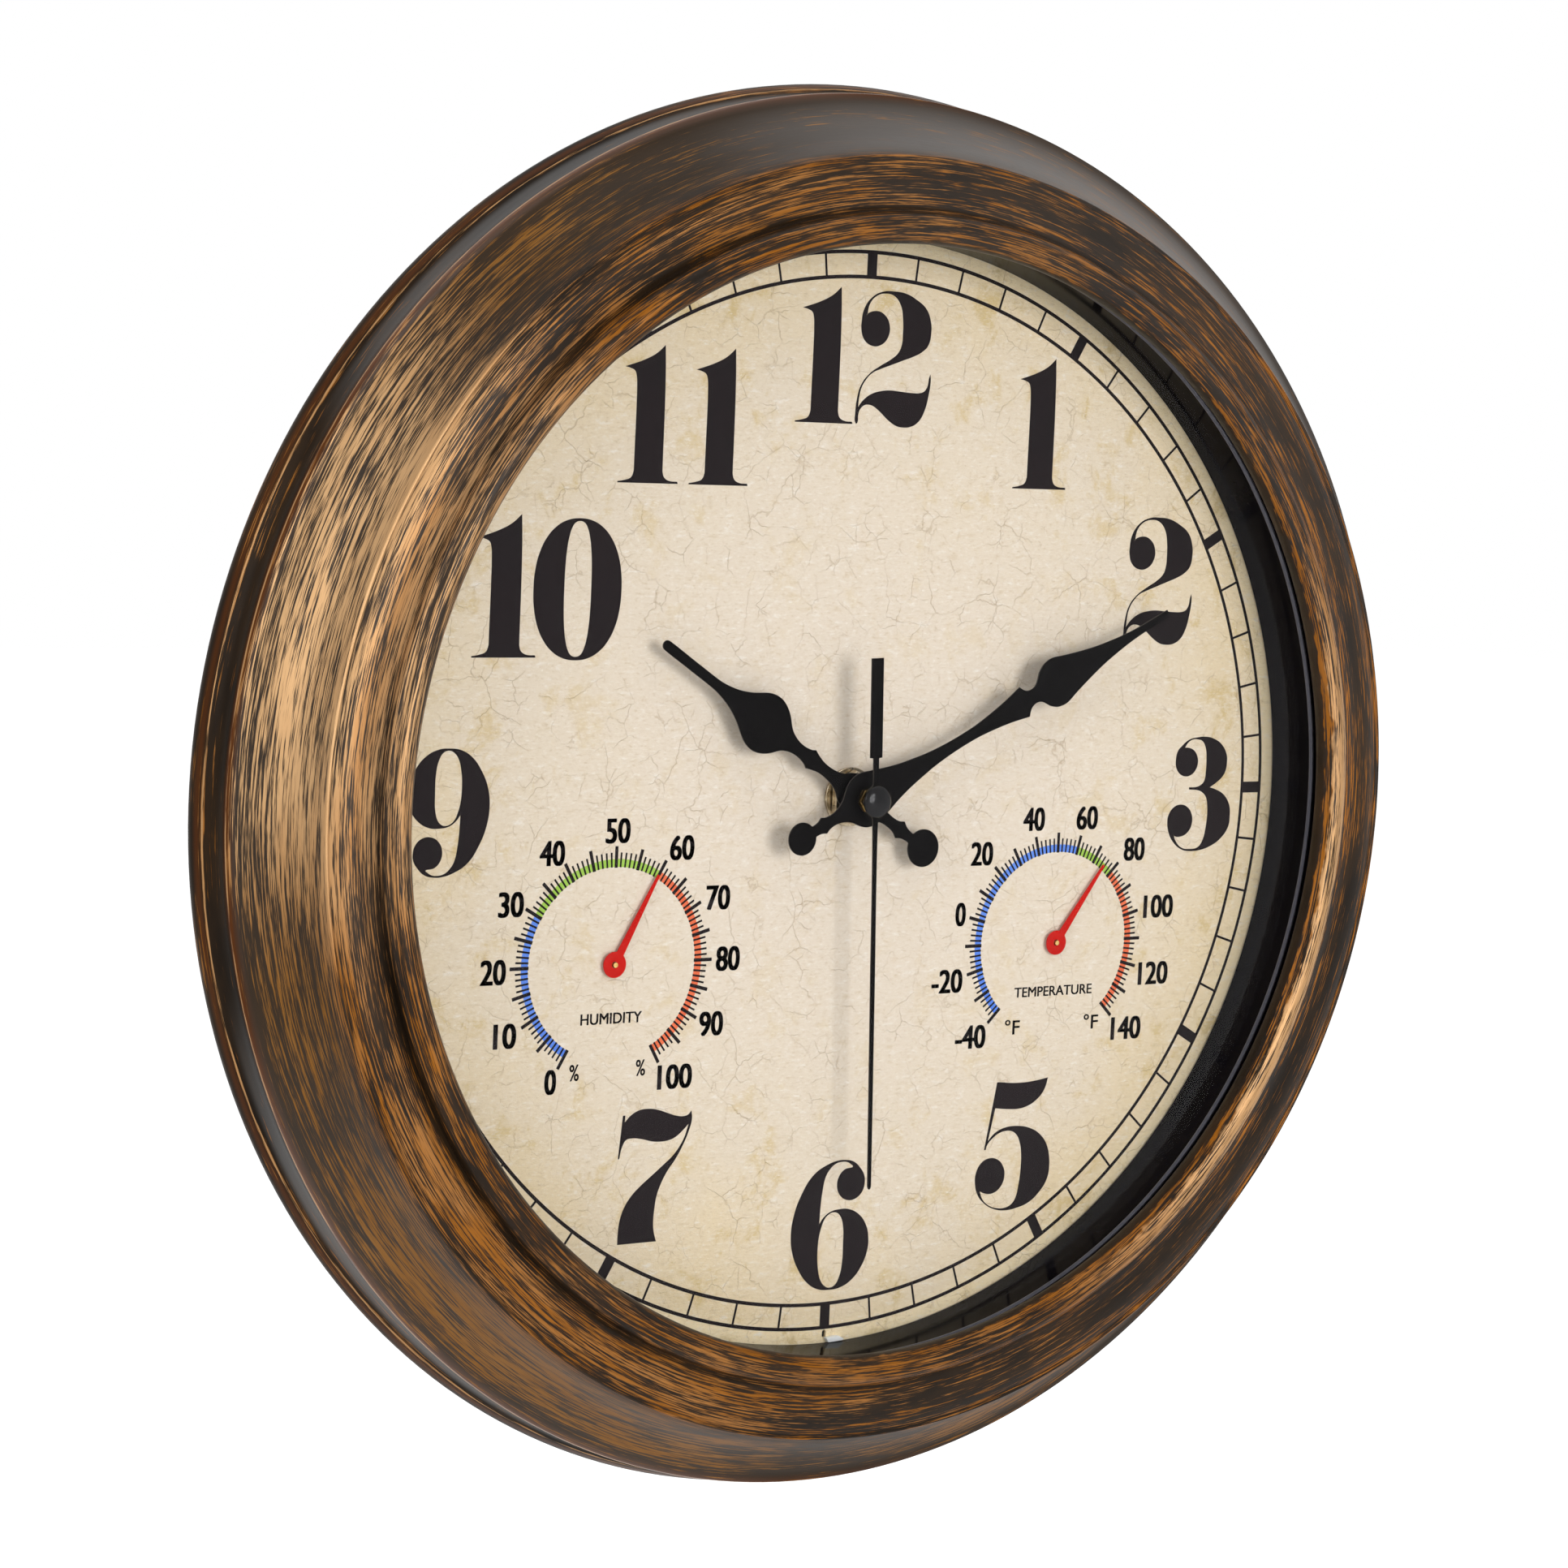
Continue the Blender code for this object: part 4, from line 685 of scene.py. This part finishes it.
hexPieces = {
    "centreNut": {"node": "hex_nut", "slot": "zinc", "body": "case", "width": 11.2, "bore": 4.3,
                  "back": 21.75, "front": 23.75, "turn": 30.0, "chamfer": 0.35},
    "minuteNut": {"node": "minute_nut", "slot": "brass", "body": "minute", "width": 5.0, "bore": 1.9,
                  "back": 28.2, "front": 29.6, "turn": 3.4, "chamfer": 0.22},
}


def makeHexPieces():
    for name, part in hexPieces.items():
        corner = part["width"] / 2 / math.cos(math.radians(30))
        outlines = [ringPoints(corner, 6, part["turn"]), ringPoints(part["bore"], 40)]
        mesh = flatPlate(name, outlines, part["back"], part["front"], part["chamfer"], 20)
        addPiece(name, mesh, finishes[part["slot"]], part["body"], part["node"])


makeHexPieces()
makeDial()
print("centre stack made")


# Hands: half widths along the length, with corners marked by a third value

def smoothWidths(table):
    # a smooth curve through the widths that keeps the marked corners
    step = 0.5
    runs, run = [], []
    for row in table:
        run.append(row[:2])
        if len(row) > 2:
            runs.append(run)
            run = [row[:2]]
    runs.append(run)
    made = []
    for run in runs:
        for i in range(len(run) - 1):
            before, here = run[max(i - 1, 0)], run[i]
            after, beyond = run[i + 1], run[min(i + 2, len(run) - 1)]
            span = after[0] - here[0]
            count = math.ceil(span / step)
            rise = (after[1] - here[1]) / span
            slopeIn = rise if i == 0 else (after[1] - before[1]) / (after[0] - before[0])
            slopeOut = rise if i == len(run) - 2 else (beyond[1] - here[1]) / (beyond[0] - here[0])
            for k in range(count):
                t = k / count
                width = ((2 * t ** 3 - 3 * t ** 2 + 1) * here[1] + (t ** 3 - 2 * t ** 2 + t) * span * slopeIn
                         + (3 * t ** 2 - 2 * t ** 3) * after[1] + (t ** 3 - t ** 2) * span * slopeOut)
                made.append((here[0] + span * t, width))
    made.append(table[-1][:2])
    return made


handBevel = 0.09
hands = {
    "hourHand": {
        "node": "hour_hand", "body": "hour", "angle": 302.9, "back": 25.4, "front": 25.8,
        "hole": 2.9, "ball": (-22.2, 4.5),
        "widths": (
            (-17, 1.25), (-15.4, 1.5), (-13.9, 2.3, 1), (-12.6, 1.6), (-10.5, 1.35), (-8, 1.6),
            (-6.6, 2.4), (-5.6, 3.6), (-4.4, 4.4), (-2.6, 4.9), (0, 5.1), (2.6, 4.9), (4.2, 4.3), (5, 4),
            (6, 3.4), (7, 2.6), (8, 2.1), (9, 1.75), (10, 1.55), (12, 1.35), (14, 1.45), (16, 1.95),
            (17.5, 2.5, 1), (18.2, 2.05), (19, 1.8), (20, 1.6), (22, 1.55), (24, 2), (26, 3), (28, 4.95),
            (30, 6.3), (32, 7), (33, 7.05), (34, 7), (36, 6.4), (38, 5.2), (40, 3.95), (42, 3), (44, 2.25),
            (46, 1.75), (48, 1.4), (50, 1.25), (58, 1.22), (66, 1.2), (66.7, 0.85), (67, 0.35))},
    "minuteHand": {
        "node": "minute_hand", "body": "minute", "angle": 63.44, "back": 27.5, "front": 27.9,
        "hole": 1.9, "ball": (-19.6, 3.85),
        "widths": (
            (-15, 1.35), (-14, 1.55), (-13, 2.1, 1), (-11.8, 1.55), (-10, 1.4), (-8, 1.8), (-6, 2.85),
            (-5, 3.85), (-4, 4.9), (-3, 5.7), (-2, 6.2), (0, 6.6), (2, 6.3), (3.5, 5.8), (5, 5.4),
            (6, 5.05), (8, 4.4), (10, 3.87), (12, 3.37), (15, 2.8), (20, 2), (25, 1.55), (30, 1.4),
            (35, 1.5), (40, 2), (45, 2.75), (50.5, 3.95, 1), (51, 3.2), (52, 2.25), (53.5, 1.85),
            (55, 2.2), (56, 3.1), (57, 4.33), (58, 5.1), (59, 5.65), (60, 5.9), (61.5, 6.05), (63, 5.8),
            (65, 5.15), (70, 3.8), (75, 2.65), (80, 1.83), (85, 1.25), (90, 0.97), (97, 0.92), (98.5, 0.9))},
    "secondHand": {
        "node": "second_hand", "body": "second", "angle": 177.95, "back": 31.3, "front": 31.7,
        "hole": 0.5, "ball": None, "tube": ((0.5, 29.9), (1.4, 29.9), (1.4, 31.35), (0.5, 31.35)),
        "widths": (
            (-33.4, 1.7, 1), (-10.2, 1.7, 1), (-10.1, 0.79, 1), (-8.6, 0.79), (-4, 0.8), (-3.2, 1.5),
            (-2.6, 2.3), (-1.6, 2.8), (0, 3.05), (1.6, 2.8), (2.6, 2.3), (3.2, 1.5), (4, 0.75), (45, 0.62),
            (90.8, 0.5), (91.4, 0.36), (91.7, 0.15))},
}


def handOutline(part):
    side = smoothWidths(part["widths"])
    outline = [(-width, along) for along, width in side] + [(width, along) for along, width in reversed(side)]
    if part["ball"]:
        outline += openRing(*part["ball"], part["widths"][0][1], 40)
    return outline


def makeHands():
    for name, part in hands.items():
        outlines = [handOutline(part), ringPoints(part["hole"], 28)]
        mesh = flatPlate(name, outlines, part["back"], part["front"], handBevel, 40, turn=part["angle"])
        if "tube" in part:
            # the hand is pressed on by a short tube behind it
            mesh = shaded(joined([mesh, sweepRound("collet", part["tube"], materials["hand_black"], 32)]), 40)
        addPiece(name, mesh, materials["hand_black"], part["body"], part["node"])


makeHands()

capShape = {"radius": 3.8, "back": 32.0, "rim": 32.35, "front": 33.6}


def makeCap():
    radius, back, rim, front = capShape.values()
    dome = arc(0.0, rim, radius, 0, 90, 12, front - rim)
    section = [(0.0, back), (radius - 0.1, back), (radius, back + 0.1), *dome[:-1], (0.0, front)]
    mesh = sweepRound("centreCap", section, capBlack, 64, closed=False)
    addPiece("centreCap", mesh, capBlack, "second", "second_cap")


makeCap()

pointers = {
    "humidity": {"x": -gaugeX, "angle": 28.4, "length": 22.9},
    "temperature": {"x": gaugeX, "angle": 36.3, "length": 23.1},
    "hub": 3.0, "hole": 0.75, "root": 1.0, "tip": 0.35, "back": 21.4, "front": 21.65,
    "bevel": 0.05,
}


def makePointer(body):
    part = pointers[body]
    tip, length = pointers["tip"], part["length"]
    outline = [*openRing(0.0, pointers["hub"], pointers["root"], 36), (-tip, length), (tip, length)]
    mesh = flatPlate(body + "Pointer", [outline, ringPoints(pointers["hole"], 20)], pointers["back"],
                     pointers["front"], pointers["bevel"], 40, part["x"], gaugeZ, part["angle"])
    addPiece(body + "Pointer", mesh, materials["pointer_red"], body, body + "_pointer")


makePointer("humidity")
makePointer("temperature")
print("hands and pointers made")


# Printing on the dial: numerals drawn from their outlines, in shares of a hundredth of their height.
# A third value marks a corner; ("ball", x, y, radius, from, sweep) runs round a terminal.

numeralShapes = {
    "1": (
        ((37, 101, 1), (38, 80), (38.5, 10, 1), (40, 6), (44, 3.6), (51.5, 3, 1), (52, 1.4, 1),
         (0.5, 1.4, 1), (0.6, 2.4, 1), (7, 3.5), (12, 5.5), (14, 10, 1), (14, 72), (13.4, 78),
         (12, 81.6), (9, 83.2), (3.5, 84.5, 1), (20, 90), (30, 95)),),
    "2": (
        ((1, 75), (3, 86), (10, 95), (20, 99.5), (30, 100), (40, 99), (50, 95), (60, 88), (64.5, 78),
         (65, 72), (63, 62), (58, 57), (50, 53), (40, 49.5), (30, 46), (20, 42.5), (13, 39.5), (8, 35),
         (3.6, 28), (1.8, 20), (1.4, 14, 1), (2.4, 15.4), (6, 19.5), (13, 24), (22, 26.5), (30, 27.2),
         (40, 26.6), (50, 26), (57, 26.2), (61, 27.6), (63.6, 31), (65, 38), (66, 40.3, 1), (66.5, 36),
         (65, 24), (62, 13), (57, 5), (50, 1), (43, 0.2), (37, 1), (30, 4.5), (20, 12), (15, 15), (11, 16),
         (7, 15.5), (3, 12), (1.8, 8), (1.5, 3), (0.5, 1.8), (-0.6, 2.6), (-1, 10), (0, 20), (3, 30),
         (10, 38.5), (20, 45), (30, 50.5), (36, 55.5), (38.4, 61), (39, 70), (38.5, 80), (36, 90),
         (30, 96.5), (22, 98), (14, 96), (8, 90), (6, 81.5, 1), ("ball", 14, 72, 13, 130, -310)),),
    "3": (
        ((6, 80), (8, 88), (12, 92), (20, 97.5), (30, 99.5), (36, 100), (48, 98), (58, 92), (63.5, 83),
         (64, 77), (63, 70), (60, 65), (53, 59.5), (46, 55.5, 1), (53, 53.5), (62, 49), (69, 40),
         (70.5, 30), (69, 20), (60, 9.5), (50, 4), (40, 1), (28, 0), (18, 1.5), (8, 8), (2, 17), (0, 27),
         ("ball", 14, 27, 14, 160, -275), (7.5, 16, 1), (10, 10), (17, 3.5), (27, 2), (36, 3.5),
         (41, 10), (43.5, 20), (44.5, 30), (44, 40), (42, 47), (38, 51), (33, 53), (22.5, 54, 1),
         (22.5, 56, 1), (30, 56), (35, 57.5), (39, 61), (40.5, 70), (40.5, 80), (39, 90), (35, 96),
         (30, 97.5), (24, 97.5), (19, 95), (15.5, 90.5, 1), ("ball", 18.5, 78, 12.5, 85, -245)),),
    "5": (
        ((16.6, 99, 1), (18.6, 99), (30, 97.8), (42, 97.5), (55, 98.5), (65, 100, 1), (62, 91),
         (55, 83.5), (46, 79), (37, 77.5), (30, 77.7), (16, 79.2, 1), (10.5, 54.5, 1), (15, 59),
         (20, 62), (27, 64), (36, 64.5), (50, 62), (60, 56.5), (67, 48), (70, 38), (70.5, 32), (69, 22),
         (62, 12), (52, 4.5), (40, 1), (30, 0), (20, 1.5), (10, 6.5), (3, 14), (0, 24),
         ("ball", 14, 27.5, 13.8, 170, -280), (5, 16.5, 1), (8, 10), (14, 5), (22, 2.3), (29, 2),
         (35, 4), (39, 8.5), (41.5, 18), (43, 33), (42.5, 45), (41, 51), (38, 57), (33, 60.5), (27, 61.2),
         (21, 60), (15, 56.5), (10, 51.5), (8.8, 47.8, 1), (7.2, 47.8, 1)),),
    "6": (
        ((0, 45), (2, 60), (8, 75), (18, 89), (30, 96), (40, 98.8), (46, 99), (55, 97), (61, 92), (65, 86),
         ("ball", 53, 80.5, 12.8, 0, -275), (54, 94, 1), (49, 97), (44, 97.6), (38, 96.4), (33, 92.5),
         (29.5, 87), (27, 75), (26, 65), (25.5, 51.5, 1), (29, 56), (35, 60), (44, 61.5), (52, 61),
         (62, 56), (69, 47), (71.5, 37), (71, 28), (66, 16), (57, 6), (46, 1), (37, 0.3), (27, 1.5),
         (17, 7), (8, 18), (2, 31)),
        ((38.5, 59.5), (34, 58.3), (30, 54.5), (28, 50), (25.8, 42), (25, 30), (26, 18), (29, 8),
         (33, 3.5), (37, 2), (42, 3.5), (46, 10), (48, 20), (48.2, 35), (47.5, 48), (45, 55.5), (42, 58.5))),
    "7": (
        ((3.6, 95.5, 1), (5.6, 95.5, 1), (5.5, 90.5, 1), (10, 95), (17, 98.5), (25, 99.2), (33, 98),
         (42, 95), (50, 92.5), (56, 92), (59.5, 93), (62, 95.7, 1), (62.8, 90), (60.5, 81), (56, 71),
         (50, 61), (43, 52), (38, 43), (35, 35), (33.5, 25), (33, 17), (33.5, 10), (36, 1.5, 1),
         (3, 1.5, 1), (3.2, 10), (4.5, 20), (8, 29), (13, 36), (20, 42.5), (30, 50), (40, 57.5),
         (48, 64), (54, 71.5), (57, 77), (60, 86, 1), (54, 80.5), (48, 76.5), (42, 74.8), (38, 74.5),
         (30, 75), (20, 77.5), (12, 78.5), (7, 77.5), (4.5, 74), (3, 70), (1.9, 64, 1), (0.7, 64, 1),
         (2.2, 80)),),
    "0": (
        ("oval", 36.5, 49.25, 36, 49.75, 2.2), ("oval", 36.5, 49.5, 11, 47.5, 2.6)),
}

# each numeral: its digits with left edge, bottom edge and height
hourNumerals = {
    "12": (("1", -19.98, 86.48, 31.48), ("2", -2.65, 86.48, 31.48)),
    "1": (("1", 43.68, 72.69, 31.30),),
    "2": (("2", 80.47, 35.73, 31.30),),
    "3": (("3", 97.27, -15.74, 28.65),),
    "5": (("5", 42.80, -102.58, 32.19),),
    "6": (("6", -10.79, -117.79, 31.48),),
    "7": (("7", -59.95, -102.40, 31.83),),
    "9": (("9", -117.61, -15.92, 28.83),),
    "10": (("1", -103.11, 32.19, 31.83), ("0", -87.90, 32.19, 31.83)),
    "11": (("1", -67.21, 71.45, 31.13), ("1", -48.28, 71.45, 31.13)),
}
digitWidth, digitHeight = 72, 99.5
ink = {"back": 20.48, "front": 20.53}


def contourPoints(contour, upsideDown):
    # the outline as (x, y, isCorner)
    made = []
    if contour[0] == "oval":
        # a power over 2 fills an oval out at its corners
        _, x, y, wide, high, power = contour
        for c, s in ringPoints(1.0, 24):
            made.append((x + wide * math.copysign(abs(c) ** (2 / power), c),
                         y + high * math.copysign(abs(s) ** (2 / power), s), False))
    else:
        for row in contour:
            if row[0] == "ball":
                made += [(x, y, False) for x, y in arc(*row[1:], 8)]
            else:
                made.append((row[0], row[1], len(row) > 2))
    if upsideDown:
        made = [(digitWidth - x, digitHeight - y, corner) for x, y, corner in made]
    return made


def drawDigit(digit, left, bottom, height):
    drawn = flatCurve("digit")
    drawn.resolution_u = 6
    upsideDown = digit == "9"
    for contour in numeralShapes["6" if upsideDown else digit]:
        points = contourPoints(contour, upsideDown)
        spline = drawn.splines.new("BEZIER")
        spline.bezier_points.add(len(points) - 1)
        for point, (x, y, corner) in zip(spline.bezier_points, points):
            point.co = ((left + x * height / 100) * mm, (bottom + y * height / 100) * mm, 0.0)
            point.handle_left_type = point.handle_right_type = "VECTOR" if corner else "AUTO"
        spline.use_cyclic_u = True
    drawn.extrude = (ink["front"] - ink["back"]) / 2 * mm
    return standUp(plainMesh("digit", newObject("digit", drawn)), depth=(ink["front"] + ink["back"]) / 2)


def makeNumerals():
    digits = [drawDigit(*digit) for numeral in hourNumerals.values() for digit in numeral]
    addPiece("hourNumerals", joined(digits), printBlack, "case")


makeNumerals()

minuteTrack = {"inner": 120.93, "outer": 126.67, "line": 0.85, "thin": 0.58, "thick": 2.75}


def ringLine(name, middle, width):
    inner, outer = middle - width / 2, middle + width / 2
    section = [(radius, ink[edge]) for radius, edge in (
        (inner, "back"), (outer, "back"), (outer, "front"), (inner, "front"))]
    return sweepRound(name, section, printBlack)


def inkTicks(name, count, first, step, inner, outer, width, x=0.0, z=0.0, lift=0.0):
    # a lift keeps the faces of crossing bars apart
    return runTree(name, bpy.data.meshes.new(name + "Base"), tickTree, {
        "Count": count, "First Angle": math.radians(first), "Step Angle": math.radians(step),
        "Radius": (inner + outer) / 2 * mm, "Length": (outer - inner) * mm, "Width": width * mm,
        "Thickness": (ink["front"] - ink["back"]) * mm, "Centre X": x * mm, "Centre Z": z * mm,
        "Depth": ((ink["front"] + ink["back"]) / 2 + lift) * mm, "Finish": printBlack})


def makeMinuteTrack():
    part = minuteTrack
    reach = (part["inner"], part["outer"])
    meshes = [ringLine("trackLine", radius, part["line"]) for radius in reach]
    meshes.append(inkTicks("trackMinutes", 60, 0.0, 6.0, *reach, part["thin"], lift=0.004))
    meshes.append(inkTicks("trackHours", 12, 0.0, 30.0, *reach, part["thick"], lift=0.006))
    addPiece("minuteTrack", joined(meshes), printBlack, "case")


makeMinuteTrack()
print("numerals and minute track printed")

gauges = {
    "humidity": {
        "x": -gaugeX, "zero": -150.0, "count": 101,
        "bands": (("Blue", -150.0, -60.0), ("Green", -60.0, 30.0), ("Orange", 30.0, 150.0)),
        "numbers": (("0", -15.2, -26.2), ("10", -27.5, -15.1), ("20", -31.1, -0.6), ("30", -27.1, 14.5),
                    ("40", -16.9, 25.7), ("50", 0.2, 30.4), ("60", 17.6, 26.1), ("70", 28.0, 14.3),
                    ("80", 31.4, 0.0), ("90", 27.5, -15.0), ("100", 18.1, -26.8)),
        "words": (("HUMIDITY", 0.3, -12.4, 16.2, 2.5), ("%", -9.0, -24.4, 2.4, 3.7),
                  ("%", 8.7, -24.2, 2.4, 3.7)),
    },
    "temperature": {
        "x": gaugeX, "zero": -135.0, "count": 91,
        "bands": (("Blue", -135.0, 15.0), ("Green", 15.0, 45.0), ("Orange", 45.0, 135.0)),
        "numbers": (("-40", -24.0, -22.2), ("-20", -31.8, -8.3), ("0", -28.7, 7.8), ("20", -23.1, 22.3),
                    ("40", -7.8, 30.3), ("60", 8.6, 30.3), ("80", 23.9, 22.2), ("100", 32.5, 7.7),
                    ("120", 31.9, -9.0), ("140", 24.1, -22.4)),
        "words": (("TEMPERATURE", 0.7, -12.0, 23.8, 2.4), ("°F", -11.4, -20.4, 4.4, 3.6),
                  ("°F", 12.9, -20.2, 4.4, 3.6)),
    },
    "step": 3.0, "longEvery": 5, "band": (22.2, 24.0), "bandFront": 20.522,
    "short": (22.1, 25.5, 0.46), "long": (22.0, 26.9, 0.82),
    "numberHeight": 5.6, "digitWidths": {"1": 2.0, "-": 1.7}, "digitWidth": 2.65, "digitGap": 0.85,
    "numberBold": (0.24, 0.09), "wordBold": (0.07, 0.03),
}


def printedText(text, x, z, width, height):
    # Blender's own plain letters, squeezed to the printed size
    drawn = bpy.data.curves.new("letters", "FONT")
    drawn.body = text
    drawn.resolution_u = 4
    mesh = plainMesh("letters", newObject("letters", drawn))
    xs = [v.co.x for v in mesh.vertices]
    ys = [v.co.y for v in mesh.vertices]
    across, up = width * mm / (max(xs) - min(xs)), height * mm / (max(ys) - min(ys))
    middle = mathutils.Vector(((max(xs) + min(xs)) / 2, (max(ys) + min(ys)) / 2, 0.0))
    thick = (0.0, 0.0, (ink["front"] - ink["back"]) * mm)
    work = bmesh.new()
    work.from_mesh(mesh)
    bmesh.ops.translate(work, verts=work.verts, vec=-middle)
    bmesh.ops.scale(work, verts=work.verts, vec=(across, up, 1.0))
    grown = bmesh.ops.extrude_face_region(work, geom=list(work.faces))["geom"]
    bmesh.ops.translate(work, verts=[g for g in grown if isinstance(g, bmesh.types.BMVert)], vec=thick)
    bmesh.ops.recalc_face_normals(work, faces=work.faces)
    return standUp(newMesh("letters", work), x, z, ink["back"])


def boldText(text, x, z, width, height, aside, upward):
    # copies a little apart make the strokes bold and leave the counters open
    shifts = ((0, 0), (-1, -1), (1, -1), (-1, 1), (1, 1))
    return [printedText(text, x + i * aside, z + j * upward, width, height) for i, j in shifts]


def numberWidth(text):
    digits = sum(gauges["digitWidths"].get(c, gauges["digitWidth"]) for c in text)
    return digits + gauges["digitGap"] * (len(text) - 1)


def arcBand(x, inner, outer, start, end):
    # a strip of ink along part of a gauge's scale, from start to end degrees past 12 o'clock
    steps = round((end - start) / 3)
    back, front = -ink["back"] * mm, -gauges["bandFront"] * mm
    edges = []
    for radius, y in ((inner, back), (outer, back), (outer, front), (inner, front)):
        line = arc(x, gaugeZ, radius, 90 - start, start - end, steps)
        edges.append([(across * mm, y, up * mm) for across, up in line])
    work = bmesh.new()
    rows = [[work.verts.new(place) for place in corners] for corners in zip(*edges)]
    for first, second in zip(rows, rows[1:]):
        for i in range(4):
            work.faces.new((first[i], first[(i + 1) % 4], second[(i + 1) % 4], second[i]))
    work.faces.new(rows[0])
    work.faces.new(rows[-1])
    bmesh.ops.recalc_face_normals(work, faces=work.faces)
    return newMesh("band", work)


def makeGauge(name):
    part = gauges[name]
    x, first, count = part["x"], part["zero"], part["count"]
    step, every = gauges["step"], gauges["longEvery"]
    for colour, start, end in part["bands"]:
        addPiece(f"{name}Band{colour}", arcBand(x, *gauges["band"], start, end), bandInks[colour], "case")
    inks = [inkTicks("short", count, first, step, *gauges["short"], x, gaugeZ),
            inkTicks("long", count // every + 1, first, step * every, *gauges["long"], x, gaugeZ, 0.004)]
    for text, aside, up in part["numbers"]:
        inks += boldText(text, x + aside, gaugeZ + up, numberWidth(text), gauges["numberHeight"],
                         *gauges["numberBold"])
    for text, aside, up, width, height in part["words"]:
        inks += boldText(text, x + aside, gaugeZ + up, width, height, *gauges["wordBold"])
    addPiece(f"{name}Scale", joined(inks), printBlack, "case")


makeGauge("humidity")
makeGauge("temperature")
print("gauges printed")


# Floor, light and camera, in metres

studio = {
    "floorZ": -0.42, "floorSize": 12.0, "floorGlow": 0.70, "worldLight": 0.44,
    "lamps": (
        {"name": "frontBox", "place": (0.22, -2.4, 0.28), "aim": (0, 0, 0), "size": 1.0, "power": 27.5},
        {"name": "leftBox", "place": (-1.95, -0.70, 0.75), "aim": (-0.1, 0, 0), "size": 1.1, "power": 14.0},
        {"name": "topBox", "place": (0.2, -0.6, 1.9), "aim": (0, 0, 0), "size": 1.2, "power": 6.0},
    ),
}


def seenBy(tree, *kinds):
    # 1 where the camera's ray or a ray of one of these kinds looks
    rays = addNode(tree, "ShaderNodeLightPath").outputs
    seen = Wire(tree, rays["Is Camera Ray"])
    for kind in kinds:
        seen = seen.larger(Wire(tree, rays[f"Is {kind} Ray"]))
    return seen


def paleFloor():
    # lit by the lamps, and glowing only where it is seen
    material, place = newMaterial("paleFloor")
    tree = place.tree
    grey = noise(place, 30.0, 2.0) * 0.04 + 0.86
    matt = wire(tree, "ShaderNodeBsdfDiffuse", {"Color": grey})
    glow = wire(tree, "ShaderNodeEmission", {"Color": white, "Strength": studio["floorGlow"]})
    both = wire(tree, "ShaderNodeAddShader", {0: matt, 1: glow})
    return finished(material, wire(tree, "ShaderNodeMixShader", {
        0: seenBy(tree, "Glossy"), 1: matt, 2: both}))


def makeStudio():
    mesh = bpy.data.meshes.new("floor")
    half, z = studio["floorSize"] / 2, studio["floorZ"]
    corners = ((-half, -half, z), (half, -half, z), (half, half, z), (-half, half, z))
    mesh.from_pydata(corners, [], [(0, 1, 2, 3)])
    mesh.materials.append(paleFloor())
    newObject("floor", mesh)
    world = bpy.data.worlds.new("studio")
    scene.world = world
    world.use_nodes = True
    tree = world.node_tree
    tree.nodes.clear()
    # white where it is seen, dimmer as a light
    dim = studio["worldLight"]
    strength = seenBy(tree, "Glossy", "Transmission") * (1.0 - dim) + dim
    back = wire(tree, "ShaderNodeBackground", {"Color": white, "Strength": strength})
    addNode(tree, "ShaderNodeOutputWorld", {"Surface": back})
    for lamp in studio["lamps"]:
        data = bpy.data.lights.new(lamp["name"], "AREA")
        data.size = lamp["size"]
        data.energy = lamp["power"]
        made = newObject(lamp["name"], data)
        made.location = lamp["place"]
        way = mathutils.Vector(lamp["aim"]) - mathutils.Vector(lamp["place"])
        made.rotation_euler = way.to_track_quat("-Z", "Y").to_euler()


makeStudio()

view = {
    "place": (-0.5458, -0.7897, 0.0926), "lens": 92.85, "shift": (0.0011, -0.0011),
    "near": 0.01, "right": (0.82655, -0.56117, 0.04360), "up": (0.01747, 0.10299, 0.99453),
    "back": (-0.56259, -0.82127, 0.09493),
}


def makeCamera():
    data = bpy.data.cameras.new("camera")
    data.lens = view["lens"]
    data.shift_x, data.shift_y = view["shift"]
    data.clip_start = view["near"]
    made = newObject("camera", data)
    axes = mathutils.Matrix((view["right"], view["up"], view["back"])).transposed()
    made.matrix_world = mathutils.Matrix.Translation(view["place"]) @ axes.to_4x4()
    scene.camera = made


makeCamera()
scene.view_settings.view_transform = "Standard"

print("done")
